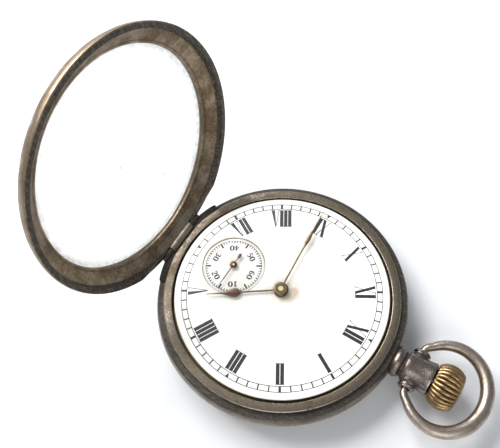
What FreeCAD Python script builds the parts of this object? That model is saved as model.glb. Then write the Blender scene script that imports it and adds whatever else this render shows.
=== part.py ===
import FreeCAD, Part
import math
import os

# Open-face, crown-wound pocket watch with a hinged glazed bezel, lying on its back.
# Millimetres. Origin: middle of the flat on the case back. +Z: out of the dial.
# +Y: towards XII, the pendant and the crown. +X: towards III.
# The bezel stands open on its hinge at VI. The case back and the inner cover open the other way.

V = FreeCAD.Vector
X = V(1, 0, 0)
Y = V(0, 1, 0)
Z = V(0, 0, 1)

# ---- case ------------------------------------------------------------------
CASE_R = 25.9            # widest radius of the middle
CASE_WIDEST_Z = 5.3
LEDGE_R = 25.35          # ledge that the bezel closes on
LEDGE_Z = 7.6
FLANGE_R = 24.1          # upstanding flange that the bezel snaps over
FLANGE_TOP = 8.45
BORE_R = 22.35           # bore that the movement drops into from the front
MOVEMENT_SEAT_R = 21.2
MOVEMENT_SEAT_Z = 6.35
BACK_SEAT_Z = 3.4
BACK_LIP_R = 24.15
COVER_SEAT_R = 23.3
BACK_FLAT_R = 13.0
BACK_WALL = 0.45

# ---- bezel and glass -------------------------------------------------------
BEZEL_R = 25.6
BEZEL_OPEN_DEG = 101.8   # the bezel is built closed and then swung open
APERTURE_R = 21.4
APERTURE_Z = 10.35
GLASS_R = 22.0
GLASS_TOP = 13.0
HINGE_Y = -24.9
HINGE_Z = 8.5
HINGE_R = 0.95
HINGE_HALF = 6.2         # half length of the pin and of all the knuckles
LUG_KNUCKLE_R = 0.72
LUG_HALF = 10.6          # half length of the raised lugs on the ledge
LUG_R = 25.5
LUG_SLOPE = [(-27.0, 9.0), (-23.3, 8.2), (-21.9, 7.6)]   # (y, z) of the top of the lugs
LUG_GAP = 0.12           # from the lugs to the bezel's filed edge
KNUCKLE_HALF = 3.45      # half length of the middle knuckle
PIN_R = 0.4
FIT = 0.05               # radial clearance of every running fit

# ---- back and inner cover hinges ---------------------------------------------
BACK_HINGE_Y = -25.3
BACK_HINGE_Z = 3.35
BACK_HINGE_R = 0.7
BACK_HINGE_HALF = 6.0
COVER_HINGE_Y = -23.5
COVER_HINGE_Z = 2.3
COVER_HINGE_R = 0.42
COVER_HINGE_HALF = 3.2
SMALL_KNUCKLE_HALF = 2.0
SMALL_PIN_R = 0.22

# ---- pendant, bow and crown, on the stem's axis ------------------------------
STEM_Z = 5.6
STEM_R = 0.75
PENDANT_END = 33.5
NECK_R = 1.85            # spigot that joins the pendant to the middle
BOW_PIVOT_Y = 29.8
BOW_WIRE_R = 1.36        # at the outer end
BOW_END_R = 0.82         # where it enters the pendant
BOW_HALF_WIDTH = 8.55    # oval, to the middle of the wire
BOW_HALF_LENGTH = 7.55
BOW_RING_Y = 36.3
BOW_START_DEG = -44.0
BOW_PIN_R = 0.55
CROWN_START = 33.7
CROWN_END = 39.2
CROWN_R = 4.5
CROWN_BULGE = 0.95       # how much the crown swells between its ends
CROWN_FLUTES = 28

# ---- dial and hands ----------------------------------------------------------
DIAL_R = 21.85
DIAL_TOP = 9.0
DIAL_EDGE_TOP = 8.6
DIAL_UNDER = 8.1
SECONDS_Y = -11.45
SECONDS_R = 6.5
SECONDS_TOP = 8.55
HOUR_HAND_DEG = 146.0    # hands point clockwise from XII
MINUTE_HAND_DEG = 266.5
SECONDS_HAND_DEG = 91.0

# ---- movement levels -----------------------------------------------------------
PLATE_R = 22.25
PLATE_TOP = 7.9
PLATE_UNDER = 6.4
RECESS_FLOOR = 7.0
BRIDGE_TOP = 3.9         # face towards the plate
BRIDGE_OUT = 2.7         # face towards the back
BARREL_BRIDGE_OUT = 3.15
BRIDGE_R = 20.9
BRIDGE_WALL_R = 18.6
PIVOT_R = 0.1
JEWEL_R = 0.75

# ---- movement plan ------------------------------------------------------------
BARREL_XY = (8.4 * math.cos(math.radians(150)), 8.4 * math.sin(math.radians(150)))
THIRD_XY = (-1.51, -6.579)
FOURTH_XY = (0.0, SECONDS_Y)
ESCAPE_XY = (4.703, -9.738)
BALANCE_XY = (10.6, -2.4)
PALLET_REACH = 3.9       # escape wheel's middle to the pallet arbor
MINUTE_WHEEL_XY = (0.9, 3.486)
SETTING_WHEEL_XY = (0.0, 7.894)
CLICK_XY = (-15.2, 1.0)
YOKE_XY = (-5.2, 13.4)
SETTING_LEVER_XY = (4.0, 17.9)
YOKE_SPRING_XY = (4.6, 12.6)
LEVER_POST_R = 0.4
THIN_POST_R = 0.3

# ---- screws and dial feet -------------------------------------------------------
BRIDGE_SCREWS = ((-16.2, 11.6), (9.2, 16.9), (-19.6, -0.6), (-11.0, -16.2), (5.5, -18.9), (18.9, -4.6))
CASE_SCREW_RADIUS = 20.35
CASE_SCREWS = tuple(
    (CASE_SCREW_RADIUS * math.cos(math.radians(degrees)), CASE_SCREW_RADIUS * math.sin(math.radians(degrees)))
    for degrees in (128.0, 318.0))
HEAD_R = 0.85
SHANK_R = 0.4
SCREW_END = 7.1
CASE_HEAD_R = 1.1
CASE_SHANK_R = 0.45
DIAL_FEET_DEG = (66.0, 195.0, 300.0)
DIAL_FOOT_RADIUS = 18.0
DIAL_FOOT_R = 0.4
DIAL_SCREW_Z = 7.15
DIAL_SCREW_R = 0.35

# ---- tooth counts and modules ---------------------------------------------------
BARREL_TEETH, CENTRE_LEAVES, BARREL_MODULE = 72, 12, 0.2
CENTRE_TEETH, THIRD_LEAVES, CENTRE_MODULE = 80, 10, 0.15
THIRD_TEETH, FOURTH_LEAVES, THIRD_MODULE = 75, 10, 0.12
FOURTH_TEETH, ESCAPE_LEAVES, FOURTH_MODULE = 70, 7, 0.13
MINUTE_TEETH, CANNON_TEETH, MOTION_MODULE = 36, 12, 0.15
HOUR_TEETH, MINUTE_LEAVES, HOUR_MODULE = 40, 10, 0.144
SETTING_TEETH = 24
RATCHET_TEETH, CROWN_WHEEL_TEETH, WINDING_MODULE = 34, 24, 0.36
WINDING_LEAVES = 14
CROWN_WHEEL_XY = (0.0, BARREL_XY[1] + math.sqrt((29 * WINDING_MODULE) ** 2 - BARREL_XY[0] ** 2))


# ---- shape helpers -----------------------------------------------------------------
def cylinder(radius, low, high, x=0.0, y=0.0):
    """Upright cylinder between two heights."""
    return Part.makeCylinder(radius, high - low, V(x, y, low), Z)


def tube(outer, inner, low, high, x=0.0, y=0.0):
    """Upright ring between two heights."""
    return cylinder(outer, low, high, x, y).cut(cylinder(inner, low - 1, high + 1, x, y))


def rod(radius, start, end):
    """Cylinder from one point to another."""
    run = end - start
    return Part.makeCylinder(radius, run.Length, start, run)


def block(x0, x1, y0, y1, z0, z1):
    """Box between two corners."""
    return Part.makeBox(x1 - x0, y1 - y0, z1 - z0, V(x0, y0, z0))


def outline(points, place):
    """Closed face. A point of four numbers is an arc through the first two to the last two."""
    edges = []
    last = place(*points[0])
    for point in points[1:] + points[:1]:
        end = place(*point[-2:])
        if len(point) == 4:
            edges.append(Part.Arc(last, place(*point[:2]), end).toShape())
        elif last.distanceToPoint(end) > 1e-7:
            edges.append(Part.makeLine(last, end))
        last = end
    return Part.Face(Part.Wire(edges))


def turned(points, x=0.0, y=0.0):
    """Solid of revolution about an upright axis, from (radius, height) points."""
    face = outline(points, lambda radius, height: V(x + radius, y, height))
    return face.revolve(V(x, y, 0), Z, 360)


def dome(apex, edge_r, edge_h):
    """Arc from a rim point up or down to an apex on the axis, centred on that axis."""
    rise = apex - edge_h
    radius = (edge_r ** 2 + rise ** 2) / (2 * rise)
    half_r = edge_r / 2
    half_h = apex - radius + math.copysign(math.sqrt(radius ** 2 - half_r ** 2), rise)
    return (half_r, half_h)


def turned_on_stem(points):
    """Solid of revolution about the stem's axis, from (radius, y) points."""
    face = outline(points, lambda radius, along: V(radius, along, STEM_Z))
    return face.revolve(V(0, 0, STEM_Z), Y, 360)


def plate(points, low, high):
    """Flat piece between two heights, from (x, y) points."""
    face = outline(points, lambda x, y: V(x, y, low))
    return face.extrude(V(0, 0, high - low))


def moved(shape, x, y, turn_deg=0.0):
    """Copy turned anticlockwise about the origin, then carried to (x, y)."""
    copy = shape.copy()
    copy.rotate(V(0, 0, 0), Z, turn_deg)
    copy.translate(V(x, y, 0))
    return copy


def joined(shapes):
    """One solid from shapes that overlap."""
    return shapes[0].multiFuse(shapes[1:]).removeSplitter()


def direction(start, end):
    """Direction in degrees from one plan point to another."""
    return math.degrees(math.atan2(end[1] - start[1], end[0] - start[0]))


def polar(centre, radius, degrees):
    """Plan point at a radius and direction from a centre."""
    angle = math.radians(degrees)
    return (centre[0] + radius * math.cos(angle), centre[1] + radius * math.sin(angle))


# ---- gears ---------------------------------------------------------------------------
def mesh_phase(teeth_a, phase_a, way, teeth_b):
    """Phase that puts gear B's gaps on gear A's teeth; way is the direction from A to B."""
    share = (way - phase_a) * teeth_a / 360.0
    return way + 180.0 + (share + 0.5) * 360.0 / teeth_b


def toothed(teeth, module, low, high, centre, phase, addendum=0.6, share=0.4):
    """Toothed disc. phase is the direction of one tooth; share is its part of the pitch."""
    pitch_r = teeth * module / 2
    tip_r = pitch_r + addendum * module
    root_r = pitch_r - 0.95 * module
    flank = ((root_r, -0.27), (pitch_r, -share / 2), (tip_r, -0.09))
    corners = list(flank) + [(radius, -offset) for radius, offset in reversed(flank)]
    step = 360.0 / teeth
    points = []
    for tooth in range(teeth):
        for radius, offset in corners:
            points.append(polar(centre, radius, phase + (tooth + offset) * step))
    return plate(points, low, high)


def crossed(disc, centre, hub_r, rim_r, arms, arm_width, low, high, phase=0.0):
    """Disc with its web cut away between the arms."""
    window = tube(rim_r, hub_r, low - 1, high + 1)
    for arm in range(arms):
        bar = block(0, rim_r + 1, -arm_width / 2, arm_width / 2, low - 2, high + 2)
        bar.rotate(V(0, 0, 0), Z, phase + arm * 360.0 / arms)
        window = window.cut(bar)
    return disc.cut(moved(window, centre[0], centre[1]))


def arbor(centre, radius, low, high, pivot=0.28):
    """Arbor with a fine pivot at each end."""
    x, y = centre
    body = cylinder(radius, low, high, x, y)
    return body.fuse(cylinder(PIVOT_R, low - pivot, high + pivot, x, y))


# ---- screws -----------------------------------------------------------------------------
def slotted_head(radius, low, high, x, y):
    """Screw head with its slot on the low side."""
    slot = block(x - radius - 1, x + radius + 1, y - 0.1, y + 0.1, low - 1, low + 0.15)
    return cylinder(radius, low, high, x, y).cut(slot)


def screw(x, y, head_low, head_high, end, head_r=HEAD_R, shank_r=SHANK_R):
    """Screw driven from the back of the watch."""
    head = slotted_head(head_r, head_low, head_high, x, y)
    return head.fuse(cylinder(shank_r, head_high, end, x, y))


def bridge_face(x, y):
    """Height of the outer face of the bridge that a screw goes through."""
    return BARREL_BRIDGE_OUT if y > -2.4 and x < 15 else BRIDGE_OUT


def screw_room(shape):
    """Shape with the holes that the bridge screws need."""
    for x, y in BRIDGE_SCREWS:
        face = bridge_face(x, y)
        shape = shape.cut(cylinder(HEAD_R + 0.05, face - 1, face + 0.4, x, y))
        shape = shape.cut(cylinder(SHANK_R, 0, SCREW_END + 0.1, x, y))
    return shape


# ---- case parts ---------------------------------------------------------------------------
def hinge_rod(radius, y, z, start, end):
    """Rod on a hinge axis, from one x to another."""
    return rod(radius, V(start, y, z), V(end, y, z))


def lug_side(z_shift, far_z, half):
    """Block along the hinge between the lugs' sloping top, moved by z_shift, and a level."""
    top = [(y, z + z_shift) for y, z in LUG_SLOPE]
    face = outline(top + [(top[-1][0], far_z), (top[0][0], far_z)], lambda y, z: V(-half, y, z))
    return face.extrude(V(2 * half, 0, 0))


def case_middle():
    """Turned band, with the bezel's hinge lugs and the knuckles of both back hinges."""
    band = turned([
        (MOVEMENT_SEAT_R, 3.05), (COVER_SEAT_R, 3.05), (COVER_SEAT_R, 2.75), (BACK_LIP_R, 2.75),
        (BACK_LIP_R, BACK_SEAT_Z), (25.4, BACK_SEAT_Z),
        (CASE_R, CASE_WIDEST_Z, LEDGE_R, LEDGE_Z - 0.12), (LEDGE_R - 0.12, LEDGE_Z),
        (FLANGE_R, LEDGE_Z), (FLANGE_R, FLANGE_TOP - 0.12), (FLANGE_R - 0.12, FLANGE_TOP),
        (BORE_R + 0.12, FLANGE_TOP), (BORE_R, FLANGE_TOP - 0.12),
        (BORE_R, MOVEMENT_SEAT_Z), (MOVEMENT_SEAT_R, MOVEMENT_SEAT_Z)])
    room = [
        hinge_rod(1.25, HINGE_Y, HINGE_Z, -KNUCKLE_HALF - 0.1, KNUCKLE_HALF + 0.1),
        hinge_rod(1.2, HINGE_Y, HINGE_Z, -7.6, 7.6).cut(block(-20, 20, -40, 0, 0, LEDGE_Z)),
        hinge_rod(0.85, BACK_HINGE_Y, BACK_HINGE_Z, -BACK_HINGE_HALF, BACK_HINGE_HALF),
        hinge_rod(0.6, COVER_HINGE_Y, COVER_HINGE_Z, -SMALL_KNUCKLE_HALF - 0.1, SMALL_KNUCKLE_HALF + 0.1),
        rod(NECK_R, V(0, 18, STEM_Z), V(0, 30, STEM_Z))]
    for hollow in room:
        band = band.cut(hollow)
    lugs = []
    for side in (-1, 1):
        near, far = sorted((side * (KNUCKLE_HALF + 0.1), side * HINGE_HALF))
        knuckle = hinge_rod(LUG_KNUCKLE_R, HINGE_Y, HINGE_Z, near, far)
        web = outline([(-25.6, HINGE_Z), (-25.6, 7.4), (-24.6, 5.8), (-23.9, 5.8), (-23.9, HINGE_Z)],
                      lambda y, z: V(near, y, z))
        web = web.extrude(V(far - near, 0, 0))
        near, far = sorted((side * (KNUCKLE_HALF + 0.1), side * LUG_HALF))
        raised = tube(LUG_R, FLANGE_R - 0.2, 7.2, 12).common(block(near, far, -27, -21.9, 0, 20))
        raised = raised.fuse(web).cut(lug_side(0, 20, LUG_HALF + 1))
        lugs.append(knuckle.fuse(raised).cut(hinge_rod(PIN_R, HINGE_Y, HINGE_Z, -20, 20)))
        near, far = sorted((side * (SMALL_KNUCKLE_HALF + 0.06), side * BACK_HINGE_HALF))
        lug = hinge_rod(BACK_HINGE_R, BACK_HINGE_Y, BACK_HINGE_Z, near, far)
        lug = lug.fuse(block(near, far, -25.9, -24.6, BACK_HINGE_Z, 4.6))
        lugs.append(lug.cut(hinge_rod(SMALL_PIN_R, BACK_HINGE_Y, BACK_HINGE_Z, -20, 20)))
        near, far = sorted((side * (SMALL_KNUCKLE_HALF + 0.06), side * COVER_HINGE_HALF))
        lug = hinge_rod(COVER_HINGE_R, COVER_HINGE_Y, COVER_HINGE_Z, near, far)
        lug = lug.fuse(block(near, far, COVER_HINGE_Y - 0.35, COVER_HINGE_Y + 0.2, COVER_HINGE_Z, 3.2))
        lugs.append(lug.cut(hinge_rod(SMALL_PIN_R, COVER_HINGE_Y, COVER_HINGE_Z, -20, 20)))
    return joined([band] + lugs)


def swung_open(shape):
    """Bezel part turned about the hinge at VI to where it stands open."""
    copy = shape.copy()
    copy.rotate(V(0, HINGE_Y, HINGE_Z), X, BEZEL_OPEN_DEG)
    return copy


def front_bezel():
    """Turned rim with a flat foot, a conical inner wall and a groove for the glass."""
    rim = turned([
        (24.45, LEDGE_Z + 0.05), (BEZEL_R - 0.1, LEDGE_Z + 0.05), (BEZEL_R, LEDGE_Z + 0.2),
        (BEZEL_R, 8.25), (24.85, 10.15, 22.7, 11.6), (APERTURE_R + 0.25, 11.65),
        (APERTURE_R + 0.25, 11.42), (GLASS_R + 0.05, 11.42), (GLASS_R + 0.05, 10.82),
        (APERTURE_R, 10.82), (APERTURE_R, APERTURE_Z), (APERTURE_R + 0.35, APERTURE_Z),
        (24.4, 8.75)])
    for side in (-1, 1):
        near, far = sorted((side * (KNUCKLE_HALF + 0.02), side * (HINGE_HALF + 0.15)))
        rim = rim.cut(hinge_rod(LUG_KNUCKLE_R + 0.15, HINGE_Y, HINGE_Z, near, far))
    rim = rim.cut(lug_side(LUG_GAP, 5, 14.5))
    knuckle = hinge_rod(HINGE_R, HINGE_Y, HINGE_Z, -KNUCKLE_HALF, KNUCKLE_HALF)
    leaf = block(-KNUCKLE_HALF, KNUCKLE_HALF, -24.9, -24.2, 8.9, 9.7)
    rim = joined([rim, knuckle, leaf])
    return swung_open(rim.cut(hinge_rod(PIN_R + FIT, HINGE_Y, HINGE_Z, -20, 20)))


def crystal():
    """Low domed glass, snapped into the bezel's groove."""
    glass = turned([
        (0, 12.2), (*dome(12.2, GLASS_R - 0.15, 10.85), GLASS_R - 0.15, 10.85), (GLASS_R, 10.95),
        (GLASS_R, 11.15), (GLASS_R - 0.1, 11.25), (*dome(GLASS_TOP, GLASS_R - 0.1, 11.25), 0, GLASS_TOP)])
    return swung_open(glass)


def case_back():
    """Shallow turned dish with a flat middle, a knuckle at VI and a lip for a thumbnail."""
    dish = turned([
        (0, 0), (BACK_FLAT_R, 0), (19.5, 0.42, 23.8, 1.05), (25.0, 1.85, 25.35, 3.3), (24.3, 3.3),
        (24.3, 2.5), (24.0, 1.85, 23.3, 1.0 + BACK_WALL), (19.4, 0.42 + BACK_WALL, BACK_FLAT_R, BACK_WALL),
        (0, BACK_WALL)])
    for side in (-1, 1):
        near, far = sorted((side * (SMALL_KNUCKLE_HALF + 0.02), side * (BACK_HINGE_HALF + 0.15)))
        dish = dish.cut(hinge_rod(0.85, BACK_HINGE_Y, BACK_HINGE_Z, near, far))
    knuckle = hinge_rod(BACK_HINGE_R, BACK_HINGE_Y, BACK_HINGE_Z, -SMALL_KNUCKLE_HALF, SMALL_KNUCKLE_HALF)
    leaf = block(-SMALL_KNUCKLE_HALF, SMALL_KNUCKLE_HALF, -25.6, -24.7, 2.2, 3.0)
    lip = cylinder(26.1, 2.75, 3.25).cut(cylinder(25.0, 0, 5))
    lip = lip.common(block(-14.0, -10.0, 18.0, 26.0, 0, 5))
    dish = joined([dish, knuckle, leaf, lip])
    return dish.cut(hinge_rod(SMALL_PIN_R + FIT, BACK_HINGE_Y, BACK_HINGE_Z, -20, 20))


def cuvette():
    """Thin domed dust cover inside the back, with its own small hinge."""
    cover = turned([
        (0, 1.45), (*dome(1.45, 21.9, 1.95), 21.9, 1.95), (22.6, 2.1, 23.1, 2.5), (23.1, 2.95),
        (22.2, 2.95), (22.2, 2.6), (21.9, 2.35, 21.4, 2.25), (*dome(1.75, 21.4, 2.25), 0, 1.75)])
    for side in (-1, 1):
        near, far = sorted((side * (SMALL_KNUCKLE_HALF + 0.02), side * (COVER_HINGE_HALF + 0.1)))
        cover = cover.cut(hinge_rod(0.62, COVER_HINGE_Y, COVER_HINGE_Z, near, far))
    knuckle = hinge_rod(COVER_HINGE_R, COVER_HINGE_Y, COVER_HINGE_Z, -SMALL_KNUCKLE_HALF, SMALL_KNUCKLE_HALF)
    leaf = block(-SMALL_KNUCKLE_HALF, SMALL_KNUCKLE_HALF, COVER_HINGE_Y, -22.6, 2.3, 2.65)
    cover = joined([cover, knuckle, leaf])
    return cover.cut(hinge_rod(SMALL_PIN_R + FIT, COVER_HINGE_Y, COVER_HINGE_Z, -20, 20))


def rear_hinge_pins():
    """Pins of the back's hinge and of the inner cover's hinge."""
    back_pin = hinge_rod(SMALL_PIN_R, BACK_HINGE_Y, BACK_HINGE_Z, -BACK_HINGE_HALF, BACK_HINGE_HALF)
    cover_pin = hinge_rod(SMALL_PIN_R, COVER_HINGE_Y, COVER_HINGE_Z, -COVER_HINGE_HALF, COVER_HINGE_HALF)
    return Part.makeCompound([back_pin, cover_pin])


def pendant():
    """Turned neck with a bead, a groove and a barrel, and a cup on each side for the bow."""
    neck = turned_on_stem([
        (1.6, 24.6), (NECK_R, 24.6), (NECK_R, 25.4), (2.6, 25.4), (3.15, 26.2, 2.65, 27.3), (2.5, 27.4),
        (2.5, 27.8), (2.85, 27.9), (3.0, 28.4), (3.05, 31.0, 3.3, 32.9), (3.3, 33.3),
        (3.1, PENDANT_END), (1.6, PENDANT_END)])
    outside = cylinder(60, -20, 40).cut(cylinder(CASE_R + 0.02, -21, 41))
    inside = rod(1.6, V(0, 20, STEM_Z), V(0, 40, STEM_Z))
    base = rod(NECK_R, V(0, 24.6, STEM_Z), V(0, 26.5, STEM_Z)).cut(inside)
    neck = neck.common(outside).fuse(base)
    for side in (-1, 1):
        cup = rod(1.5, V(side * 2.3, BOW_PIVOT_Y, STEM_Z), V(side * 4.1, BOW_PIVOT_Y, STEM_Z))
        bead = rod(1.7, V(side * 3.55, BOW_PIVOT_Y, STEM_Z), V(side * 3.85, BOW_PIVOT_Y, STEM_Z))
        neck = neck.fuse(cup.fuse(bead))
    neck = neck.cut(inside)
    for side in (-1, 1):
        dish = rod(0.95, V(side * 3.8, BOW_PIVOT_Y, STEM_Z), V(side * 5, BOW_PIVOT_Y, STEM_Z))
        hole = rod(BOW_PIN_R + FIT, V(side * 2.5, BOW_PIVOT_Y, STEM_Z), V(side * 5, BOW_PIVOT_Y, STEM_Z))
        neck = neck.cut(dish.fuse(hole))
    return neck.removeSplitter()


def pendant_sleeve():
    """Steel bush in the pendant that carries the stem."""
    return turned_on_stem([
        (STEM_R + FIT, 25.2), (1.55, 25.2), (1.55, 33.3), (1.2, PENDANT_END - 0.1),
        (STEM_R + FIT, PENDANT_END - 0.1)])


def bow_point(degrees):
    """Point on the middle of the bow's oval, and its heading there."""
    angle = math.radians(degrees)
    point = V(BOW_HALF_WIDTH * math.cos(angle), BOW_RING_Y + BOW_HALF_LENGTH * math.sin(angle), STEM_Z)
    return point, V(-BOW_HALF_WIDTH * math.sin(angle), BOW_HALF_LENGTH * math.cos(angle), 0)


def bow():
    """Oval of wire that thins towards its two ends, which pivot in the pendant's cups."""
    sections = 15
    rings = []
    for index in range(sections):
        along = index / (sections - 1)
        wire_r = BOW_END_R + (BOW_WIRE_R - BOW_END_R) * math.sin(math.pi * along) ** 0.7
        middle, heading = bow_point(BOW_START_DEG + (180 - 2 * BOW_START_DEG) * along)
        rings.append(Part.Wire(Part.makeCircle(wire_r, middle, heading)))
    pieces = [Part.makeLoft(rings, True, False)]
    for side, degrees in ((1, BOW_START_DEG), (-1, 180 - BOW_START_DEG)):
        top = bow_point(degrees)[0]
        corner = V(side * 5.15, BOW_PIVOT_Y, STEM_Z)
        pieces.append(Part.makeSphere(BOW_END_R, top))
        pieces.append(rod(BOW_END_R, corner, top))
        pieces.append(Part.makeSphere(BOW_END_R, corner))
        pieces.append(rod(BOW_PIN_R, V(side * 2.7, BOW_PIVOT_Y, STEM_Z), corner))
    return joined(pieces)


def crown():
    """Onion-shaped winding button with rounded flutes, bored for the stem."""
    middle_y = (CROWN_START + CROWN_END - 0.5) / 2
    half = middle_y - CROWN_START
    arc_r = (half ** 2 + CROWN_BULGE ** 2) / (2 * CROWN_BULGE)
    body = turned_on_stem([
        (STEM_R, CROWN_START), (CROWN_R - CROWN_BULGE, CROWN_START),
        (CROWN_R, middle_y, CROWN_R - CROWN_BULGE, middle_y + half),
        (*dome(CROWN_END, CROWN_R - CROWN_BULGE, middle_y + half), 0.0, CROWN_END),
        (0.0, CROWN_END - 1.6), (STEM_R, CROWN_END - 1.6)])
    for flute in range(CROWN_FLUTES):
        cutter = Part.makeTorus(arc_r + 0.12, 0.3, V(CROWN_R - arc_r, middle_y, 0), Z, 0, 360, 360)
        cutter = cutter.common(block(2.0, 6.0, CROWN_START + 0.35, middle_y + half - 0.15, -1, 1))
        cutter.translate(V(0, 0, STEM_Z))
        cutter.rotate(V(0, 0, STEM_Z), Y, flute * 360.0 / CROWN_FLUTES)
        body = body.cut(cutter)
    return body


def winding_stem():
    """Stem: plain through the pendant, grooved for the setting lever, square for the clutch."""
    stem = turned_on_stem([
        (0, 8.9), (0.35, 8.9), (0.35, 9.9), (STEM_R, 9.9), (STEM_R, 17.1), (0.5, 17.1), (0.5, 17.9),
        (STEM_R, 17.9), (STEM_R, CROWN_END - 1.6), (0, CROWN_END - 1.6)])
    half = STEM_R / math.sqrt(2)
    around = rod(2.0, V(0, 9.9, STEM_Z), V(0, 14.3, STEM_Z))
    return stem.cut(around.cut(block(-half, half, 9, 15, STEM_Z - half, STEM_Z + half)))


# ---- dial and hands -----------------------------------------------------------------------------
def dial():
    """Slightly domed enamel disc, open at the middle and where the seconds dial is let in."""
    disc = turned([
        (1.35, DIAL_UNDER), (DIAL_R - 0.15, DIAL_UNDER), (DIAL_R, DIAL_UNDER + 0.15),
        (DIAL_R, DIAL_EDGE_TOP - 0.1), (DIAL_R - 0.1, DIAL_EDGE_TOP),
        (11.0, DIAL_TOP - 0.1, 1.5, DIAL_TOP), (1.35, DIAL_TOP - 0.1)])
    return disc.cut(cylinder(SECONDS_R, 0, 20, 0, SECONDS_Y))


def seconds_dial():
    """Small flat disc set lower than the main dial."""
    return tube(SECONDS_R - 0.02, 0.45, DIAL_UNDER, SECONDS_TOP, 0, SECONDS_Y)


def dial_feet():
    """Copper pegs under the dial that enter the plate."""
    feet = []
    for degrees in DIAL_FEET_DEG:
        x, y = polar((0, 0), DIAL_FOOT_RADIUS, degrees)
        feet.append(cylinder(DIAL_FOOT_R, PLATE_UNDER + 0.2, DIAL_UNDER, x, y))
    return Part.makeCompound(feet)


def dial_screw(degrees, reach):
    """Radial screw space from the plate's edge to the foot."""
    start = polar((0, 0), PLATE_R + reach, degrees)
    end = polar((0, 0), DIAL_FOOT_RADIUS + 0.45, degrees)
    return rod(DIAL_SCREW_R, V(start[0], start[1], DIAL_SCREW_Z), V(end[0], end[1], DIAL_SCREW_Z))


def dial_screws():
    """Small headless screws in the plate's edge that grip the dial's feet."""
    return Part.makeCompound([dial_screw(degrees, -0.15) for degrees in DIAL_FEET_DEG])


def hand(half_outline, boss_r, hole_r, low, high, centre, clock_deg):
    """Flat hand from (half width, distance) points, pointing clockwise from XII."""
    right = [(width, distance) for width, distance in half_outline]
    left = [(-width, distance) for width, distance in reversed(half_outline) if width > 0]
    blade = plate(right + left, low, high)
    blade = blade.fuse(cylinder(boss_r, low, high)).cut(cylinder(hole_r, low - 1, high + 1))
    return moved(blade, centre[0], centre[1], -clock_deg)


def hour_hand():
    """Spade hand: thin stem, pear-shaped bulb and needle tip."""
    half = [(0.19, 0.0), (0.17, 7.6), (0.22, 8.05), (0.62, 8.45), (0.93, 9.0), (0.96, 9.5), (0.80, 10.2),
            (0.50, 11.0), (0.28, 11.7), (0.17, 12.4), (0.0, 15.2)]
    return hand(half, 1.55, 1.15, 9.45, 9.65, (0, 0), HOUR_HAND_DEG)


def minute_hand():
    """Long thin hand with a slight swelling and a needle tip."""
    half = [(0.17, 0.0), (0.15, 9.2), (0.2, 10.8), (0.36, 12.3), (0.33, 13.3), (0.18, 15.0), (0.11, 17.0),
            (0.0, 19.9)]
    return hand(half, 1.5, 0.8, 10.0, 10.18, (0, 0), MINUTE_HAND_DEG)


def seconds_hand():
    """Fine hand with a lozenge on its tail, on a small pipe."""
    half = [(0.0, -3.0), (0.3, -2.7), (0.36, -2.35), (0.2, -1.75), (0.1, -1.4), (0.1, 1.2), (0.12, 3.0),
            (0.0, 6.0)]
    return hand(half, 0.78, 0.2, 9.1, 9.24, FOURTH_XY, SECONDS_HAND_DEG)


# ---- plate and bridges ----------------------------------------------------------------------------
def main_plate():
    """Plate that carries everything; recessed under the dial for the motion and keyless work."""
    disc = turned([
        (0, PLATE_UNDER), (PLATE_R, PLATE_UNDER), (PLATE_R, 7.55), (21.75, 7.55), (21.75, PLATE_TOP),
        (0, PLATE_TOP)])
    stem_block = block(-2.9, 2.9, 16.3, 20.8, 4.2, PLATE_UNDER + 0.1)
    tail_block = block(-1.0, 1.0, 8.75, 9.75, 4.9, PLATE_UNDER + 0.1)
    disc = joined([disc, stem_block, tail_block])
    recess = cylinder(3.3, RECESS_FLOOR, 9)
    for (x, y), radius in ((MINUTE_WHEEL_XY, 3.1), (SETTING_WHEEL_XY, 2.3)):
        recess = recess.fuse(cylinder(radius, RECESS_FLOOR, 9, x, y))
    recess = recess.fuse(block(-6.6, 5.6, 9.8, 19.0, RECESS_FLOOR, 9))
    disc = disc.cut(recess)
    disc = disc.cut(block(-2.6, 2.6, 9.8, 16.2, 0, 9))
    disc = disc.cut(rod(STEM_R + FIT, V(0, 9.8, STEM_Z), V(0, 30, STEM_Z)))
    disc = disc.cut(rod(0.35 + FIT, V(0, 5, STEM_Z), V(0, 12, STEM_Z)))
    disc = disc.cut(block(-0.4, 2.2, 17.0, 18.9, STEM_Z, 9))
    disc = disc.cut(cylinder(0.72, 0, 9))
    for x, y in (THIRD_XY, FOURTH_XY, ESCAPE_XY, pallet_xy(), BALANCE_XY):
        disc = disc.cut(cylinder(JEWEL_R, 0, 6.8, x, y))
        disc = disc.cut(cylinder(0.3, 0, 9, x, y))
    disc = disc.cut(cylinder(0.82, 0, 7.0, *BARREL_XY))
    for (x, y), radius in lever_posts():
        disc = disc.cut(cylinder(radius, 6.6, 9, x, y))
    for degrees in DIAL_FEET_DEG:
        x, y = polar((0, 0), DIAL_FOOT_RADIUS, degrees)
        disc = disc.cut(cylinder(DIAL_FOOT_R, 0, 9, x, y))
        disc = disc.cut(dial_screw(degrees, 1.0))
    for x, y in CASE_SCREWS:
        disc = disc.cut(cylinder(0.5, 0, 7.2, x, y))
    return screw_room(disc)


def bridge_slab(face):
    """Disc with a wall at its edge that stands on the plate."""
    slab = cylinder(BRIDGE_R, face, BRIDGE_TOP)
    return slab.fuse(tube(BRIDGE_R, BRIDGE_WALL_R, face, PLATE_UNDER))


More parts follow.
